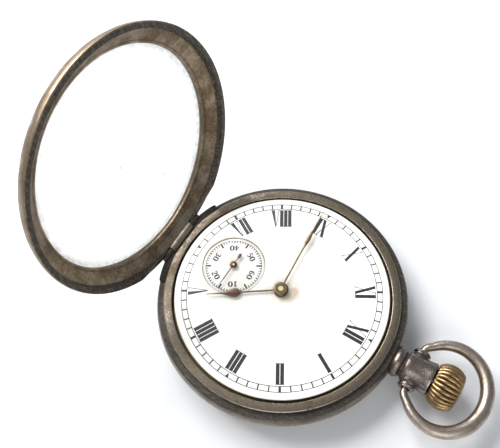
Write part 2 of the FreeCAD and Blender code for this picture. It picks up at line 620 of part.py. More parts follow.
def barrel_bridge():
    """Upper bridge over the barrel and the middle of the movement."""
    slab = bridge_slab(BARREL_BRIDGE_OUT)
    slab = slab.cut(block(-30, 30, -30, -2.4, 0, 9))
    slab = slab.cut(cylinder(7.8, 0, 9, *BALANCE_XY))
    slab = slab.cut(block(9.0, 30, -30, 4.0, 0, 9))
    slab = slab.cut(block(-3.0, 3.0, 16.2, 30, BRIDGE_TOP, 9))
    slab = slab.cut(block(-2.1, 2.1, 14.2, 16.1, 0, 9))
    slab = slab.cut(cylinder(0.85, 0, 9, *BARREL_XY))
    slab = slab.cut(cylinder(0.75, BRIDGE_TOP - 0.35, 9))
    slab = slab.cut(cylinder(0.3, 0, 9))
    slab = slab.cut(cylinder(0.45, 0, 9, *CROWN_WHEEL_XY))
    slab = slab.cut(cylinder(0.4, 0, 9, *CLICK_XY))
    slab = slab.cut(cylinder(0.3, 0, 9, *click_spring_foot()))
    slab = slab.cut(cylinder(1.0, 0, 9, *CASE_SCREWS[0]).fuse(cylinder(1.3, 0, 3.3, *CASE_SCREWS[0])))
    return screw_room(slab)


def train_bridge():
    """Lower bridge over the third, fourth and escape wheels."""
    slab = bridge_slab(BRIDGE_OUT)
    slab = slab.cut(block(-30, 30, -2.7, 30, 0, 9))
    slab = slab.cut(cylinder(7.8, 0, 9, *BALANCE_XY))
    slab = slab.cut(block(8.2, 30, -30, 30, 0, 9))
    for x, y in (THIRD_XY, FOURTH_XY, ESCAPE_XY):
        slab = slab.cut(cylinder(JEWEL_R, BRIDGE_TOP - 0.35, 9, x, y))
        slab = slab.cut(cylinder(0.3, 0, 9, x, y))
    return screw_room(slab)


def balance_cock():
    """Arm from a foot at the edge to the middle of the balance."""
    heading = direction((0, 0), BALANCE_XY)
    arm = block(0, 9.5, -2.4, 2.4, BRIDGE_OUT, 3.6).fuse(cylinder(2.4, BRIDGE_OUT, 3.6))
    foot = block(7.6, 12.0, -7.0, 7.0, BRIDGE_OUT, PLATE_UNDER)
    cock = moved(joined([arm, foot]), BALANCE_XY[0], BALANCE_XY[1], heading)
    cock = cock.common(cylinder(BRIDGE_R, 0, 9))
    cock = cock.cut(cylinder(7.45, 3.7, 9, *BALANCE_XY))
    cock = cock.cut(cylinder(JEWEL_R, 3.2, 9, *BALANCE_XY)).cut(cylinder(0.3, 0, 9, *BALANCE_XY))
    x, y = stud_xy()
    cock = cock.cut(cylinder(0.3, 0, 9, x, y))
    return screw_room(cock)


def pallet_xy():
    """Plan point of the pallet arbor, on the line from the escape wheel to the balance."""
    return polar(ESCAPE_XY, PALLET_REACH, direction(ESCAPE_XY, BALANCE_XY))


def pallet_bridge():
    """Narrow bridge under the pallet arbor, on two posts."""
    x, y = pallet_xy()
    across = direction(ESCAPE_XY, BALANCE_XY) + 90
    posts = [polar((x, y), 2.85, across), polar((x, y), 2.85, across + 180)]
    bar = block(-2.85, 2.85, -0.6, 0.6, 4.98, 5.28)
    pieces = [moved(bar, x, y, across)]
    for post_x, post_y in posts:
        pieces.append(cylinder(0.6, 4.98, PLATE_UNDER, post_x, post_y))
    return joined(pieces).cut(cylinder(PIVOT_R + 0.03, 0, 9, x, y))


# ---- barrel and going train -----------------------------------------------------------------------------
def barrel():
    """Drum with a toothed rim."""
    way = direction(BARREL_XY, (0, 0))
    rim = toothed(BARREL_TEETH, BARREL_MODULE, 5.0, 5.5, BARREL_XY, way)
    drum = cylinder(6.9, 4.3, 5.62, *BARREL_XY).fuse(rim)
    drum = drum.cut(cylinder(6.5, 4.0, 5.4, *BARREL_XY))
    return drum.cut(cylinder(0.85, 0, 9, *BARREL_XY)).removeSplitter()


def barrel_cover():
    """Thin lid that closes the drum."""
    return tube(6.88, 0.85, 4.05, 4.28, *BARREL_XY)


def barrel_arbor():
    """Arbor that the ratchet wheel turns; the mainspring hooks on its middle."""
    x, y = BARREL_XY
    return turned([
        (0, 3.12), (0.4, 3.12), (0.4, 3.14), (0.8, 3.14), (0.8, 4.32), (1.9, 4.32), (1.9, 5.36), (0.8, 5.36),
        (0.8, 6.9), (0, 6.9)], x, y)


def spiral(centre, inner_r, outer_r, turns, strip, low, high, start_deg=0.0):
    """Flat strip wound in an even spiral."""
    per_turn = 20
    count = int(turns * per_turn)
    sides = []
    for offset in (-strip / 2, strip / 2):
        points = []
        for index in range(count + 1):
            radius = inner_r + (outer_r - inner_r) * index / count + offset
            x, y = polar(centre, radius, start_deg + 360.0 * index / per_turn)
            points.append(V(x, y, low))
        curve = Part.BSplineCurve()
        curve.interpolate(points)
        sides.append((curve.toShape(), points))
    ends = [Part.makeLine(sides[0][1][i], sides[1][1][i]) for i in (0, -1)]
    wire = Part.Wire(Part.sortEdges([sides[0][0], ends[1], sides[1][0], ends[0]])[0])
    return Part.Face(wire).extrude(V(0, 0, high - low))


def mainspring():
    """Coiled steel strip in the barrel."""
    return spiral(BARREL_XY, 2.2, 6.3, 9, 0.2, 4.4, 5.3)


def centre_wheel():
    """Wheel and pinion that turn once an hour; the arbor reaches through the plate."""
    way = direction((0, 0), THIRD_XY)
    wheel = toothed(CENTRE_TEETH, CENTRE_MODULE, 5.85, 6.1, (0, 0), way)
    wheel = crossed(wheel, (0, 0), 1.6, 5.2, 5, 0.55, 5.85, 6.1, way)
    barrel_way = direction(BARREL_XY, (0, 0))
    phase = mesh_phase(BARREL_TEETH, barrel_way, barrel_way, CENTRE_LEAVES)
    pinion = toothed(CENTRE_LEAVES, BARREL_MODULE, 4.7, 5.9, (0, 0), phase, 0.5, 0.36)
    post = turned([
        (0, 3.6), (PIVOT_R * 2, 3.6), (PIVOT_R * 2, 3.95), (0.7, 3.95), (0.7, 6.95), (0.5, 6.95), (0.5, 10.3),
        (0, 10.3)])
    return joined([wheel, pinion, post])


def third_wheel():
    """Third wheel and its pinion."""
    centre_way = direction((0, 0), THIRD_XY)
    phase = mesh_phase(CENTRE_TEETH, centre_way, centre_way, THIRD_LEAVES)
    pinion = toothed(THIRD_LEAVES, CENTRE_MODULE, 5.6, 6.25, THIRD_XY, phase, 0.45, 0.34)
    way = direction(THIRD_XY, FOURTH_XY)
    wheel = toothed(THIRD_TEETH, THIRD_MODULE, 4.3, 4.55, THIRD_XY, way)
    wheel = crossed(wheel, THIRD_XY, 1.1, 3.9, 4, 0.45, 4.3, 4.55, 20)
    return joined([wheel, pinion, arbor(THIRD_XY, 0.4, 3.95, 6.35)])


def fourth_wheel():
    """Fourth wheel and pinion; its long pivot carries the seconds hand."""
    way_in = direction(THIRD_XY, FOURTH_XY)
    phase = mesh_phase(THIRD_TEETH, way_in, way_in, FOURTH_LEAVES)
    pinion = toothed(FOURTH_LEAVES, THIRD_MODULE, 4.1, 4.75, FOURTH_XY, phase, 0.45, 0.34)
    way = direction(FOURTH_XY, ESCAPE_XY)
    wheel = toothed(FOURTH_TEETH, FOURTH_MODULE, 5.1, 5.35, FOURTH_XY, way)
    wheel = crossed(wheel, FOURTH_XY, 1.1, 3.9, 4, 0.45, 5.1, 5.35, 45)
    x, y = FOURTH_XY
    return joined([wheel, pinion, arbor(FOURTH_XY, 0.35, 3.95, 6.35), cylinder(0.2, 6.3, 9.35, x, y)])


def escape_wheel():
    """Fifteen hooked teeth on four arms, with a seven-leaf pinion."""
    teeth = 15
    points = []
    for tooth in range(teeth):
        start = tooth * 360.0 / teeth
        for radius, offset in ((2.2, 2.0), (2.2, 12.0), (2.75, 18.5), (3.0, 22.5), (3.0, 24.5), (2.8, 25.5)):
            points.append(polar(ESCAPE_XY, radius, start + offset))
    wheel = crossed(plate(points, 5.6, 5.82), ESCAPE_XY, 0.8, 1.9, 4, 0.35, 5.6, 5.82)
    way = direction(FOURTH_XY, ESCAPE_XY)
    phase = mesh_phase(FOURTH_TEETH, way, way, ESCAPE_LEAVES)
    pinion = toothed(ESCAPE_LEAVES, FOURTH_MODULE, 4.9, 5.5, ESCAPE_XY, phase, 0.4, 0.3)
    return joined([wheel, pinion, arbor(ESCAPE_XY, 0.26, 3.95, 6.35)])


def pallet_fork():
    """Lever with two arms for the stones and a notched end towards the balance."""
    x, y = pallet_xy()
    way = direction(ESCAPE_XY, BALANCE_XY)
    fork = plate([
        (-0.55, -1.9), (0.0, -1.95), (0.45, -0.7), (0.6, -0.25), (3.6, -0.2), (3.9, -0.55), (4.35, -0.55),
        (4.35, -0.25), (3.95, -0.25), (3.95, 0.25), (4.35, 0.25), (4.35, 0.55), (3.9, 0.55), (3.6, 0.2),
        (0.6, 0.25), (0.45, 0.7), (0.0, 1.95), (-0.55, 1.9), (-0.35, 0.6), (-0.45, 0.0), (-0.35, -0.6)],
        5.6, 5.82)
    pieces = [moved(fork, x, y, way), cylinder(0.25, 5.32, 6.3, x, y), cylinder(PIVOT_R, 5.0, 6.6, x, y)]
    return joined(pieces)


def balance_wheel():
    """Cut two-part rim on one bar, threaded round its edge for the screws."""
    x, y = BALANCE_XY
    rim = tube(6.6, 5.85, 4.25, 4.85)
    bar = block(-6.2, 6.2, -0.5, 0.5, 4.35, 4.7).common(cylinder(6.2, 0, 9))
    wheel = joined([rim, bar, cylinder(1.1, 4.35, 4.7)])
    for turn in (0, 180):
        gap = block(5.5, 7.0, 0.6, 0.85, 4, 5)
        gap.rotate(V(0, 0, 0), Z, turn)
        wheel = wheel.cut(gap)
    wheel = moved(wheel, x, y, 25)
    for spot in balance_screw_spots():
        wheel = wheel.cut(balance_screw_part(spot, 0.17, 5.7, 7.5))
    return wheel.cut(cylinder(0.42, 0, 9, x, y))


def balance_screw_spots():
    """Directions of the screws round the balance, in two fans clear of the bar's gaps."""
    return [start + 25 + 24.0 * step for start in (0, 180) for step in (0.8, 1.8, 2.8, 3.8, 4.8, 5.8, 6.8)]


def balance_screw_part(degrees, radius, near, far):
    """Radial cylinder at the balance's rim."""
    start = polar(BALANCE_XY, near, degrees)
    end = polar(BALANCE_XY, far, degrees)
    return rod(radius, V(start[0], start[1], 4.55), V(end[0], end[1], 4.55))


def balance_screws():
    """Weights screwed into the rim of the balance."""
    screws = []
    for spot in balance_screw_spots():
        head = balance_screw_part(spot, 0.28, 6.62, 7.12)
        screws.append(head.fuse(balance_screw_part(spot, 0.17, 6.0, 6.8)))
    return Part.makeCompound(screws)


def balance_staff():
    """Staff with the collet seat, the roller and its pin, which stops just short of the fork."""
    x, y = BALANCE_XY
    staff = turned([
        (0, 3.3), (PIVOT_R, 3.3), (PIVOT_R, 3.65), (0.42, 3.8), (0.42, 5.2), (1.45, 5.2), (1.45, 5.38),
        (0.3, 5.38), (0.3, 6.3), (PIVOT_R, 6.38), (PIVOT_R, 6.65), (0, 6.65)], x, y)
    pin_x, pin_y = polar(BALANCE_XY, 1.2, direction(BALANCE_XY, ESCAPE_XY))
    return staff.fuse(cylinder(0.15, 5.3, 5.54, pin_x, pin_y))


def hairspring():
    """Fine flat spiral under the cock."""
    return spiral(BALANCE_XY, 0.75, 3.35, 8, 0.08, 3.86, 4.1, stud_deg())


def stud_deg():
    """Direction of the hairspring's outer end from the balance's middle."""
    return direction((0, 0), BALANCE_XY) + 25


def stud_xy():
    """Plan point of the hairspring stud."""
    return polar(BALANCE_XY, 3.72, stud_deg())


def hairspring_stud():
    """Peg in the cock that holds the hairspring's outer end."""
    x, y = stud_xy()
    return cylinder(0.28, 2.8, 4.15, x, y)


def regulator():
    """Index lever that turns on the cock."""
    x, y = BALANCE_XY
    ring = tube(1.75, 1.15, 2.4, 2.62)
    arm = plate([(1.5, -0.35), (6.4, -0.12), (6.4, 0.12), (1.5, 0.35)], 2.4, 2.62)
    return moved(joined([ring, arm]), x, y, direction((0, 0), BALANCE_XY) - 4)


def balance_jewels():
    """Pierced stones for the balance, with the round cap on the cock."""
    x, y = BALANCE_XY
    cap = turned([(0, 2.45), (0.8, 2.45), (1.08, 2.7), (0, 2.7)], x, y)
    lower = tube(JEWEL_R, PIVOT_R + 0.03, 3.2, 3.55, x, y)
    upper = tube(JEWEL_R, PIVOT_R + 0.03, 6.45, 6.8, x, y)
    return Part.makeCompound([cap, lower, upper])


def train_jewels():
    """Pierced stones for the train."""
    stones = [tube(JEWEL_R, 0.23, BRIDGE_TOP - 0.35, BRIDGE_TOP, 0, 0)]
    for x, y in (THIRD_XY, FOURTH_XY, ESCAPE_XY):
        stones.append(tube(JEWEL_R, PIVOT_R + 0.03, BRIDGE_TOP - 0.35, BRIDGE_TOP, x, y))
    for x, y in (THIRD_XY, ESCAPE_XY, pallet_xy()):
        stones.append(tube(JEWEL_R, PIVOT_R + 0.03, 6.45, 6.8, x, y))
    stones.append(tube(JEWEL_R, 0.24, 6.45, 6.8, *FOURTH_XY))
    return Part.makeCompound(stones)


# ---- winding and setting work --------------------------------------------------------------------------
def ratchet_wheel():
    """Large winding wheel, square on the barrel arbor."""
    phase = direction(BARREL_XY, CROWN_WHEEL_XY)
    wheel = toothed(RATCHET_TEETH, WINDING_MODULE, 2.6, 3.1, BARREL_XY, phase, 0.55, 0.38)
    return wheel.cut(cylinder(0.42, 0, 9, *BARREL_XY))


def ratchet_screw():
    """Broad screw that holds the ratchet wheel down."""
    x, y = BARREL_XY
    return slotted_head(1.5, 2.4, 2.6, x, y).fuse(cylinder(0.4, 2.6, 3.12, x, y))


def crown_wheel():
    """Winding wheel that passes the crown's turn to the ratchet wheel."""
    way = direction(BARREL_XY, CROWN_WHEEL_XY)
    phase = mesh_phase(RATCHET_TEETH, way, way, CROWN_WHEEL_TEETH)
    wheel = toothed(CROWN_WHEEL_TEETH, WINDING_MODULE, 2.6, 3.1, CROWN_WHEEL_XY, phase, 0.55, 0.38)
    return wheel.cut(cylinder(0.5, 0, 9, *CROWN_WHEEL_XY))


def crown_wheel_screw():
    """Screw that the crown wheel turns on."""
    x, y = CROWN_WHEEL_XY
    return slotted_head(1.3, 2.4, 2.58, x, y).fuse(cylinder(0.45, 2.58, 3.85, x, y))


def click():
    """Pawl with its beak beside the ratchet wheel's teeth."""
    way = direction(CLICK_XY, BARREL_XY)
    beak = plate([(-0.9, -0.5), (-0.3, -0.9), (0.9, -0.7), (1.72, 1.0), (1.1, 1.3), (0.1, 0.9), (-0.8, 0.5)],
                 2.65, 3.05)
    pawl = moved(beak, CLICK_XY[0], CLICK_XY[1], way).cut(cylinder(0.45, 0, 9, *CLICK_XY))
    return pawl.removeSplitter()


def click_spring_foot():
    """Plan point of the click spring's fixing."""
    return (-16.4, 5.6)


def click_spring():
    """Bent steel strip beside the click, on a round foot."""
    x, y = click_spring_foot()
    foot = cylinder(0.8, 2.7, 3.05, x, y).fuse(cylinder(0.28, 3.0, 3.7, x, y))
    strip = plate([(x - 0.5, y), (x - 1.0, y - 2.0, x - 0.6, y - 3.6), (x - 0.8, y - 3.6),
                   (x - 1.22, y - 2.0, x - 0.75, y)], 2.75, 3.0)
    return foot.fuse(strip)


def click_post():
    """Screw that the click turns on."""
    x, y = CLICK_XY
    return slotted_head(0.7, 2.42, 2.62, x, y).fuse(cylinder(0.4, 2.62, 3.8, x, y))


def face_teeth(start, end, outer_r, offset_deg):
    """Eight short teeth on the end of a wheel on the stem."""
    teeth = []
    for tooth in range(8):
        bar = block(0.95, outer_r, start, end, -0.15, 0.15)
        bar.translate(V(0, 0, STEM_Z))
        bar.rotate(V(0, 0, STEM_Z), Y, offset_deg + tooth * 45.0)
        teeth.append(bar)
    return teeth


def winding_pinion():
    """Pinion on the stem: leaves above the crown wheel, face teeth towards the clutch."""
    points = []
    for tooth in range(WINDING_LEAVES):
        for radius, offset in ((1.95, -0.3), (2.4, -0.13), (2.4, 0.13), (1.95, 0.3)):
            points.append(polar((0, 0), radius, (tooth + offset) * 360.0 / WINDING_LEAVES))
    face = outline(points, lambda x, z: V(x, 14.45, STEM_Z + z))
    body = face.extrude(V(0, 1.4, 0))
    body = joined([body] + face_teeth(13.85, 14.6, 1.6, 0.0))
    return body.cut(rod(STEM_R + FIT, V(0, 10, STEM_Z), V(0, 20, STEM_Z)))


def clutch_wheel():
    """Sliding wheel on the stem's square, grooved for the yoke."""
    body = turned_on_stem([(0, 11.0), (1.65, 11.0), (1.65, 11.7), (1.05, 11.7), (1.05, 12.6), (1.65, 12.6),
                           (1.65, 13.7), (0, 13.7)])
    body = joined([body] + face_teeth(13.6, 14.25, 1.6, 22.5) + face_teeth(10.7, 11.1, 1.6, 0.0))
    half = STEM_R / math.sqrt(2) + 0.04
    return body.cut(block(-half, half, 10, 15, STEM_Z - half, STEM_Z + half))


def lever_posts():
    """Plan point and radius of each peg that a keyless lever turns on."""
    return (
        (YOKE_XY, LEVER_POST_R), (SETTING_LEVER_XY, LEVER_POST_R), (SETTING_WHEEL_XY, LEVER_POST_R),
        (MINUTE_WHEEL_XY, THIN_POST_R), (YOKE_SPRING_XY, THIN_POST_R))


def keyless_posts():
    """Pegs in the plate for the levers and wheels of the keyless work."""
    posts = []
    for (x, y), radius in lever_posts():
        posts.append(cylinder(radius, 6.6, 7.9, x, y))
    return Part.makeCompound(posts)


def yoke():
    """Lever whose end lies in the clutch wheel's groove."""
    x, y = YOKE_XY
    bar = plate([(-0.8, -0.5), (1.0, -1.0), (4.4, -1.5), (6.0, -1.5), (6.0, -1.0), (4.4, -1.0), (1.4, 0.2),
                 (0.5, 0.8), (-0.6, 0.7)], 7.05, 7.3)
    return moved(bar, x, y).cut(cylinder(LEVER_POST_R + FIT, 0, 9, x, y))


def setting_lever():
    """Lever with a pin in the stem's groove; it follows the crown when it is pulled."""
    x, y = SETTING_LEVER_XY
    bar = plate([(-4.35, -0.75), (-3.6, -0.75), (-0.8, -0.6), (0.7, -0.7), (0.8, 0.6), (-0.6, 0.7),
                 (-4.35, -0.05)], 7.05, 7.3)
    nib = cylinder(0.28, 6.2, 7.2, -4.0, -0.4)
    return moved(bar.fuse(nib), x, y).cut(cylinder(LEVER_POST_R + FIT, 0, 9, x, y))


def yoke_spring():
    """Strip spring that pushes the yoke towards the winding pinion."""
    foot = tube(0.7, THIN_POST_R, 7.05, 7.3, *YOKE_SPRING_XY)
    strip = plate([(4.0, 12.4), (3.6, 11.1, 3.05, 10.5), (3.25, 10.4), (3.85, 11.0, 4.3, 12.2)], 7.08, 7.27)
    return foot.fuse(strip)


def minute_wheel_phase():
    """Direction of a minute wheel tooth, in mesh with the cannon pinion."""
    way = direction((0, 0), MINUTE_WHEEL_XY)
    return mesh_phase(CANNON_TEETH, way, way, MINUTE_TEETH)


def minute_wheel():
    """Wheel and pinion between the cannon pinion and the hour wheel."""
    way = direction(MINUTE_WHEEL_XY, (0, 0))
    wheel = toothed(MINUTE_TEETH, MOTION_MODULE, 7.1, 7.35, MINUTE_WHEEL_XY, minute_wheel_phase())
    pinion = toothed(MINUTE_LEAVES, HOUR_MODULE, 7.3, 7.82, MINUTE_WHEEL_XY, way, 0.45, 0.34)
    return joined([wheel, pinion]).cut(cylinder(THIN_POST_R + FIT, 0, 9, *MINUTE_WHEEL_XY))


def setting_wheel():
    """Small wheel between the clutch wheel and the minute wheel."""
    way = direction(MINUTE_WHEEL_XY, SETTING_WHEEL_XY)
    phase = mesh_phase(MINUTE_TEETH, minute_wheel_phase(), way, SETTING_TEETH)
    wheel = toothed(SETTING_TEETH, MOTION_MODULE, 7.1, 7.35, SETTING_WHEEL_XY, phase)
    return wheel.cut(cylinder(LEVER_POST_R + FIT, 0, 9, *SETTING_WHEEL_XY))


def hour_wheel():
    """Wheel that turns once in twelve hours, with the pipe for the hour hand."""
    way = direction(MINUTE_WHEEL_XY, (0, 0))
    phase = mesh_phase(MINUTE_LEAVES, way, way, HOUR_TEETH)
    wheel = toothed(HOUR_TEETH, HOUR_MODULE, 7.5, 7.72, (0, 0), phase)
    return joined([wheel, cylinder(1.15, 7.5, 9.7)]).cut(cylinder(0.8 + FIT, 0, 12))


def cannon_pinion():
    """Pinion held by friction on the centre arbor; the minute hand sits on its top."""
    way = direction((0, 0), MINUTE_WHEEL_XY)
    pinion = toothed(CANNON_TEETH, MOTION_MODULE, 7.05, 7.42, (0, 0), way, 0.45, 0.34)
    return joined([pinion, cylinder(0.8, 7.4, 10.25)]).cut(cylinder(0.5, 0, 12))


# ---- fasteners -------------------------------------------------------------------------------------------
def bridge_screws():
    """Screws that hold the bridges and the cock to the plate."""
    screws = []
    for x, y in BRIDGE_SCREWS:
        face = bridge_face(x, y)
        screws.append(screw(x, y, face - 0.1, face + 0.4, SCREW_END))
    return Part.makeCompound(screws)


def case_screws():
    """Screws whose heads lap over the case's seat and keep the movement in."""
    return Part.makeCompound([
        screw(x, y, 2.78, 3.05, SCREW_END, CASE_HEAD_R, CASE_SHANK_R) for x, y in CASE_SCREWS])


NODES = {
    "case_middle": case_middle,
    "front_bezel": front_bezel,
    "crystal": crystal,
    "bezel_hinge_pin": lambda: hinge_rod(PIN_R, HINGE_Y, HINGE_Z, -HINGE_HALF, HINGE_HALF),
    "case_back": case_back,
    "cuvette": cuvette,
    "rear_hinge_pins": rear_hinge_pins,
    "pendant": pendant,
    "pendant_sleeve": pendant_sleeve,
    "bow": bow,
    "crown": crown,
    "winding_stem": winding_stem,
    "dial": dial,
    "seconds_dial": seconds_dial,
    "dial_feet": dial_feet,
    "dial_screws": dial_screws,
    "hour_hand": hour_hand,
    "minute_hand": minute_hand,
    "seconds_hand": seconds_hand,
    "main_plate": main_plate,
    "barrel_bridge": barrel_bridge,
    "train_bridge": train_bridge,
    "balance_cock": balance_cock,
    "pallet_bridge": pallet_bridge,
    "barrel": barrel,
    "barrel_cover": barrel_cover,
    "barrel_arbor": barrel_arbor,
    "mainspring": mainspring,
    "centre_wheel": centre_wheel,
    "third_wheel": third_wheel,
    "fourth_wheel": fourth_wheel,
    "escape_wheel": escape_wheel,
    "pallet_fork": pallet_fork,
    "balance_wheel": balance_wheel,
    "balance_screws": balance_screws,
    "balance_staff": balance_staff,
    "hairspring": hairspring,
    "hairspring_stud": hairspring_stud,
    "regulator": regulator,
    "balance_jewels": balance_jewels,
    "train_jewels": train_jewels,
    "ratchet_wheel": ratchet_wheel,
    "ratchet_screw": ratchet_screw,
    "crown_wheel": crown_wheel,
    "crown_wheel_screw": crown_wheel_screw,
    "click": click,
    "click_post": click_post,
    "click_spring": click_spring,
    "winding_pinion": winding_pinion,
    "clutch_wheel": clutch_wheel,
    "keyless_posts": keyless_posts,
    "yoke": yoke,
    "yoke_spring": yoke_spring,
    "setting_lever": setting_lever,
    "setting_wheel": setting_wheel,
    "minute_wheel": minute_wheel,
    "hour_wheel": hour_wheel,
    "cannon_pinion": cannon_pinion,
    "bridge_screws": bridge_screws,
    "case_screws": case_screws,
}

os.makedirs("parts", exist_ok=True)
for name, make in NODES.items():
    shape = make()
    print(f"{name:20s} solids {len(shape.Solids)} valid {shape.isValid()} volume {shape.Volume:.3f}")
    shape.exportStep(f"parts/{name}.step")
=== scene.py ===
import math

import bmesh
import bpy
from mathutils import Matrix, Vector


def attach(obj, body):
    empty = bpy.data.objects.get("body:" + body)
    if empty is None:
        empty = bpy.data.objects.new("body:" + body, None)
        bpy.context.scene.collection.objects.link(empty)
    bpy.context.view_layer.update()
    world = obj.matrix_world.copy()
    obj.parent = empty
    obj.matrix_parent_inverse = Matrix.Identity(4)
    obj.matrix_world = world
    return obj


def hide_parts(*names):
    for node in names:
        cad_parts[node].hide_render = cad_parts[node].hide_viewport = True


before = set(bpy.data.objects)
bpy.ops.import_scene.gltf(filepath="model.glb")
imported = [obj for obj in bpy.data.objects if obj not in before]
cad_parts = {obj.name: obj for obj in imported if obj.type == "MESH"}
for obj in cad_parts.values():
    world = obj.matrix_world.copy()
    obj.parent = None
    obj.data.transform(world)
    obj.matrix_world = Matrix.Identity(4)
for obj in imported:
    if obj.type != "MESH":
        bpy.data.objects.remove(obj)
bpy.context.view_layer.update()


# ---- Middle of the case ------------------------------------------------------------------
# Silver ring, turned from a thick band, with a ledge that the bezel closes on and a flange
# that it snaps over. Lugs for the three hinges are soldered on, and the bezel's are filed to
# a slope. Tarnish is black on the ledge and worn off the widest part. The flange's two edges
# carry painted highlights broken by wear, and the bore has thin tarnish under painted shade.
MM = 0.001
AROUND = 224
EDGE_SOFTNESS = 0.07
HINGE_Y, HINGE_Z = -24.9, 8.5
HINGE_HALF = 6.2
KNUCKLE_HALF = 3.45
LUG_START = 3.55
LUG_HALF, LUG_HIGH = 10.6, 9.3
LUG_INNER, LUG_OUTER = 24.05, 25.55
LUG_SLOPE = [(-27.0, 9.0), (-23.3, 8.2), (-21.9, 7.6)]
LEDGE_Z = 7.6
KNUCKLE_R, KNUCKLE_ROOM = 0.72, 1.25
FLANGE_GAP_R, FLANGE_GAP_HALF = 1.2, 7.6
BACK_HINGE_Y, BACK_HINGE_Z, BACK_HINGE_HALF = -25.3, 3.35, 6.0
BACK_KNUCKLE_R, BACK_ROOM = 0.7, 0.85
COVER_HINGE_Y, COVER_HINGE_Z = -23.5, 2.3
COVER_KNUCKLE_R, COVER_ROOM, COVER_LUG_END = 0.42, 0.62, 3.2
LID_KNUCKLE_HALF, CASE_KNUCKLE_START = 1.95, 2.06
CRISP = 0.01
MIDDLE_OUTLINE = [
    (21.2, 3.05), (23.3, 3.05), (23.3, 2.75), (24.15, 2.75), (24.15, 3.4), (25.4, 3.4),
    (25.9, 5.3, 25.35, 7.48), (25.23, LEDGE_Z), (24.1, LEDGE_Z), (24.1, 8.33), (23.98, 8.45),
    (22.47, 8.45), (22.35, 8.33), (22.35, 6.35), (21.2, 6.35)]


def circle_through(start, middle, end):
    """Middle and radius of the circle through three points."""
    (ax, ay), (bx, by), (cx, cy) = start, middle, end
    a2, b2, c2 = ax * ax + ay * ay, bx * bx + by * by, cx * cx + cy * cy
    span = 2 * (ax * (by - cy) + bx * (cy - ay) + cx * (ay - by))
    ux = (a2 * (by - cy) + b2 * (cy - ay) + c2 * (ay - by)) / span
    uy = (a2 * (cx - bx) + b2 * (ax - cx) + c2 * (bx - ax)) / span
    return ux, uy, math.hypot(ax - ux, ay - uy)


def arc_points(start, middle, end, steps):
    """Points of the arc from start through middle to end, start left out."""
    ux, uy, radius = circle_through(start, middle, end)
    first, between, last = (math.atan2(y - uy, x - ux) for x, y in (start, middle, end))
    swing = (last - first) % math.tau
    if (between - first) % math.tau > swing:
        swing -= math.tau
    return [(ux + radius * math.cos(first + swing * k / steps),
             uy + radius * math.sin(first + swing * k / steps)) for k in range(1, steps + 1)]


def drawn(outline, steps=12):
    """Plain points of an outline whose four-number corners are arcs through the first two."""
    path = [outline[0]]
    for corner in outline[1:]:
        if len(corner) == 2:
            path.append(corner)
        else:
            path += arc_points(path[-1], corner[:2], corner[2:], steps)
    return path


def softened(path, softness=EDGE_SOFTNESS):
    """The path with every hard corner rounded off, as polishing leaves it."""
    smooth = []
    for index, corner in enumerate(path):
        here = Vector(corner)
        before = Vector(path[index - 1]) - here
        after = Vector(path[(index + 1) % len(path)]) - here
        on_axis = here.x < 1e-6
        if on_axis or before.length < 1e-6 or after.length < 1e-6 or before.angle(after) > 2.8:
            smooth.append(tuple(here))
            continue
        cut_in = here + before.normalized() * min(softness, before.length * 0.4)
        cut_out = here + after.normalized() * min(softness, after.length * 0.4)
        for t in (0.0, 0.33, 0.67, 1.0):
            smooth.append(tuple(cut_in * (1 - t) ** 2 + here * 2 * t * (1 - t) + cut_out * t * t))
    return smooth


def lathe(path, around=AROUND, radius_at=None):
    """Turned mesh about the upright axis. radius_at may change the radius round the turn."""
    shape = bmesh.new()
    rings = []
    for index, (radius, height) in enumerate(path):
        ring = []
        for k in range(1 if radius < 1e-6 else around):
            angle = math.tau * k / around
            out = radius_at(radius, angle, index) if radius_at else radius
            ring.append(shape.verts.new((out * math.cos(angle), out * math.sin(angle), height)))
        rings.append(ring)
    for low, high in zip(rings, rings[1:] + rings[:1]):
        if len(low) == 1 and len(high) == 1:
            continue
        for k in range(around):
            corners = [low[k % len(low)], low[(k + 1) % len(low)],
                       high[(k + 1) % len(high)], high[k % len(high)]]
            shape.faces.new(dict.fromkeys(corners))
    bmesh.ops.recalc_face_normals(shape, faces=shape.faces)
    return shape


def bar(path, x0, x1):
    """Bar along X whose section is a closed (y, z) path."""
    shape = bmesh.new()
    ends = [[shape.verts.new((x, y, z)) for y, z in path] for x in (x0, x1)]
    for face in ends:
        shape.faces.new(face)
    for k in range(len(path)):
        following = (k + 1) % len(path)
        shape.faces.new((ends[0][k], ends[0][following], ends[1][following], ends[1][k]))
    bmesh.ops.recalc_face_normals(shape, faces=shape.faces)
    return shape


def skin(shape, rows):
    """Faces between rows of points, and over the first and last row."""
    for first, second in zip(rows, rows[1:]):
        for k in range(len(first)):
            following = (k + 1) % len(first)
            shape.faces.new((first[k], first[following], second[following], second[k]))
    shape.faces.new(rows[0])
    shape.faces.new(rows[-1])


def round_section(radius, y, z, sides=32):
    """Closed circle of (y, z) points."""
    return [(y + radius * math.cos(math.tau * k / sides), z + radius * math.sin(math.tau * k / sides))
            for k in range(sides)]


def pin_bar(radius, y, z, x0, x1, softness=0.06):
    """Round bar along X with softened ends."""
    shape = lathe(softened([(0, x0), (radius, x0), (radius, x1), (0, x1)], softness), 32)
    shape.transform(Matrix(((0, 0, 1, 0), (1, 0, 0, y), (0, 1, 0, z), (0, 0, 0, 1))))
    return shape


def as_object(name, *shapes):
    """One object in millimetres from one or more meshes laid together."""
    mesh = bpy.data.meshes.new(name)
    whole = bmesh.new()
    for shape in shapes:
        part = bpy.data.meshes.new("part")
        shape.to_mesh(part)
        shape.free()
        whole.from_mesh(part)
        bpy.data.meshes.remove(part)
    whole.to_mesh(mesh)
    whole.free()
    piece = bpy.data.objects.new(name, mesh)
    bpy.context.scene.collection.objects.link(piece)
    return piece


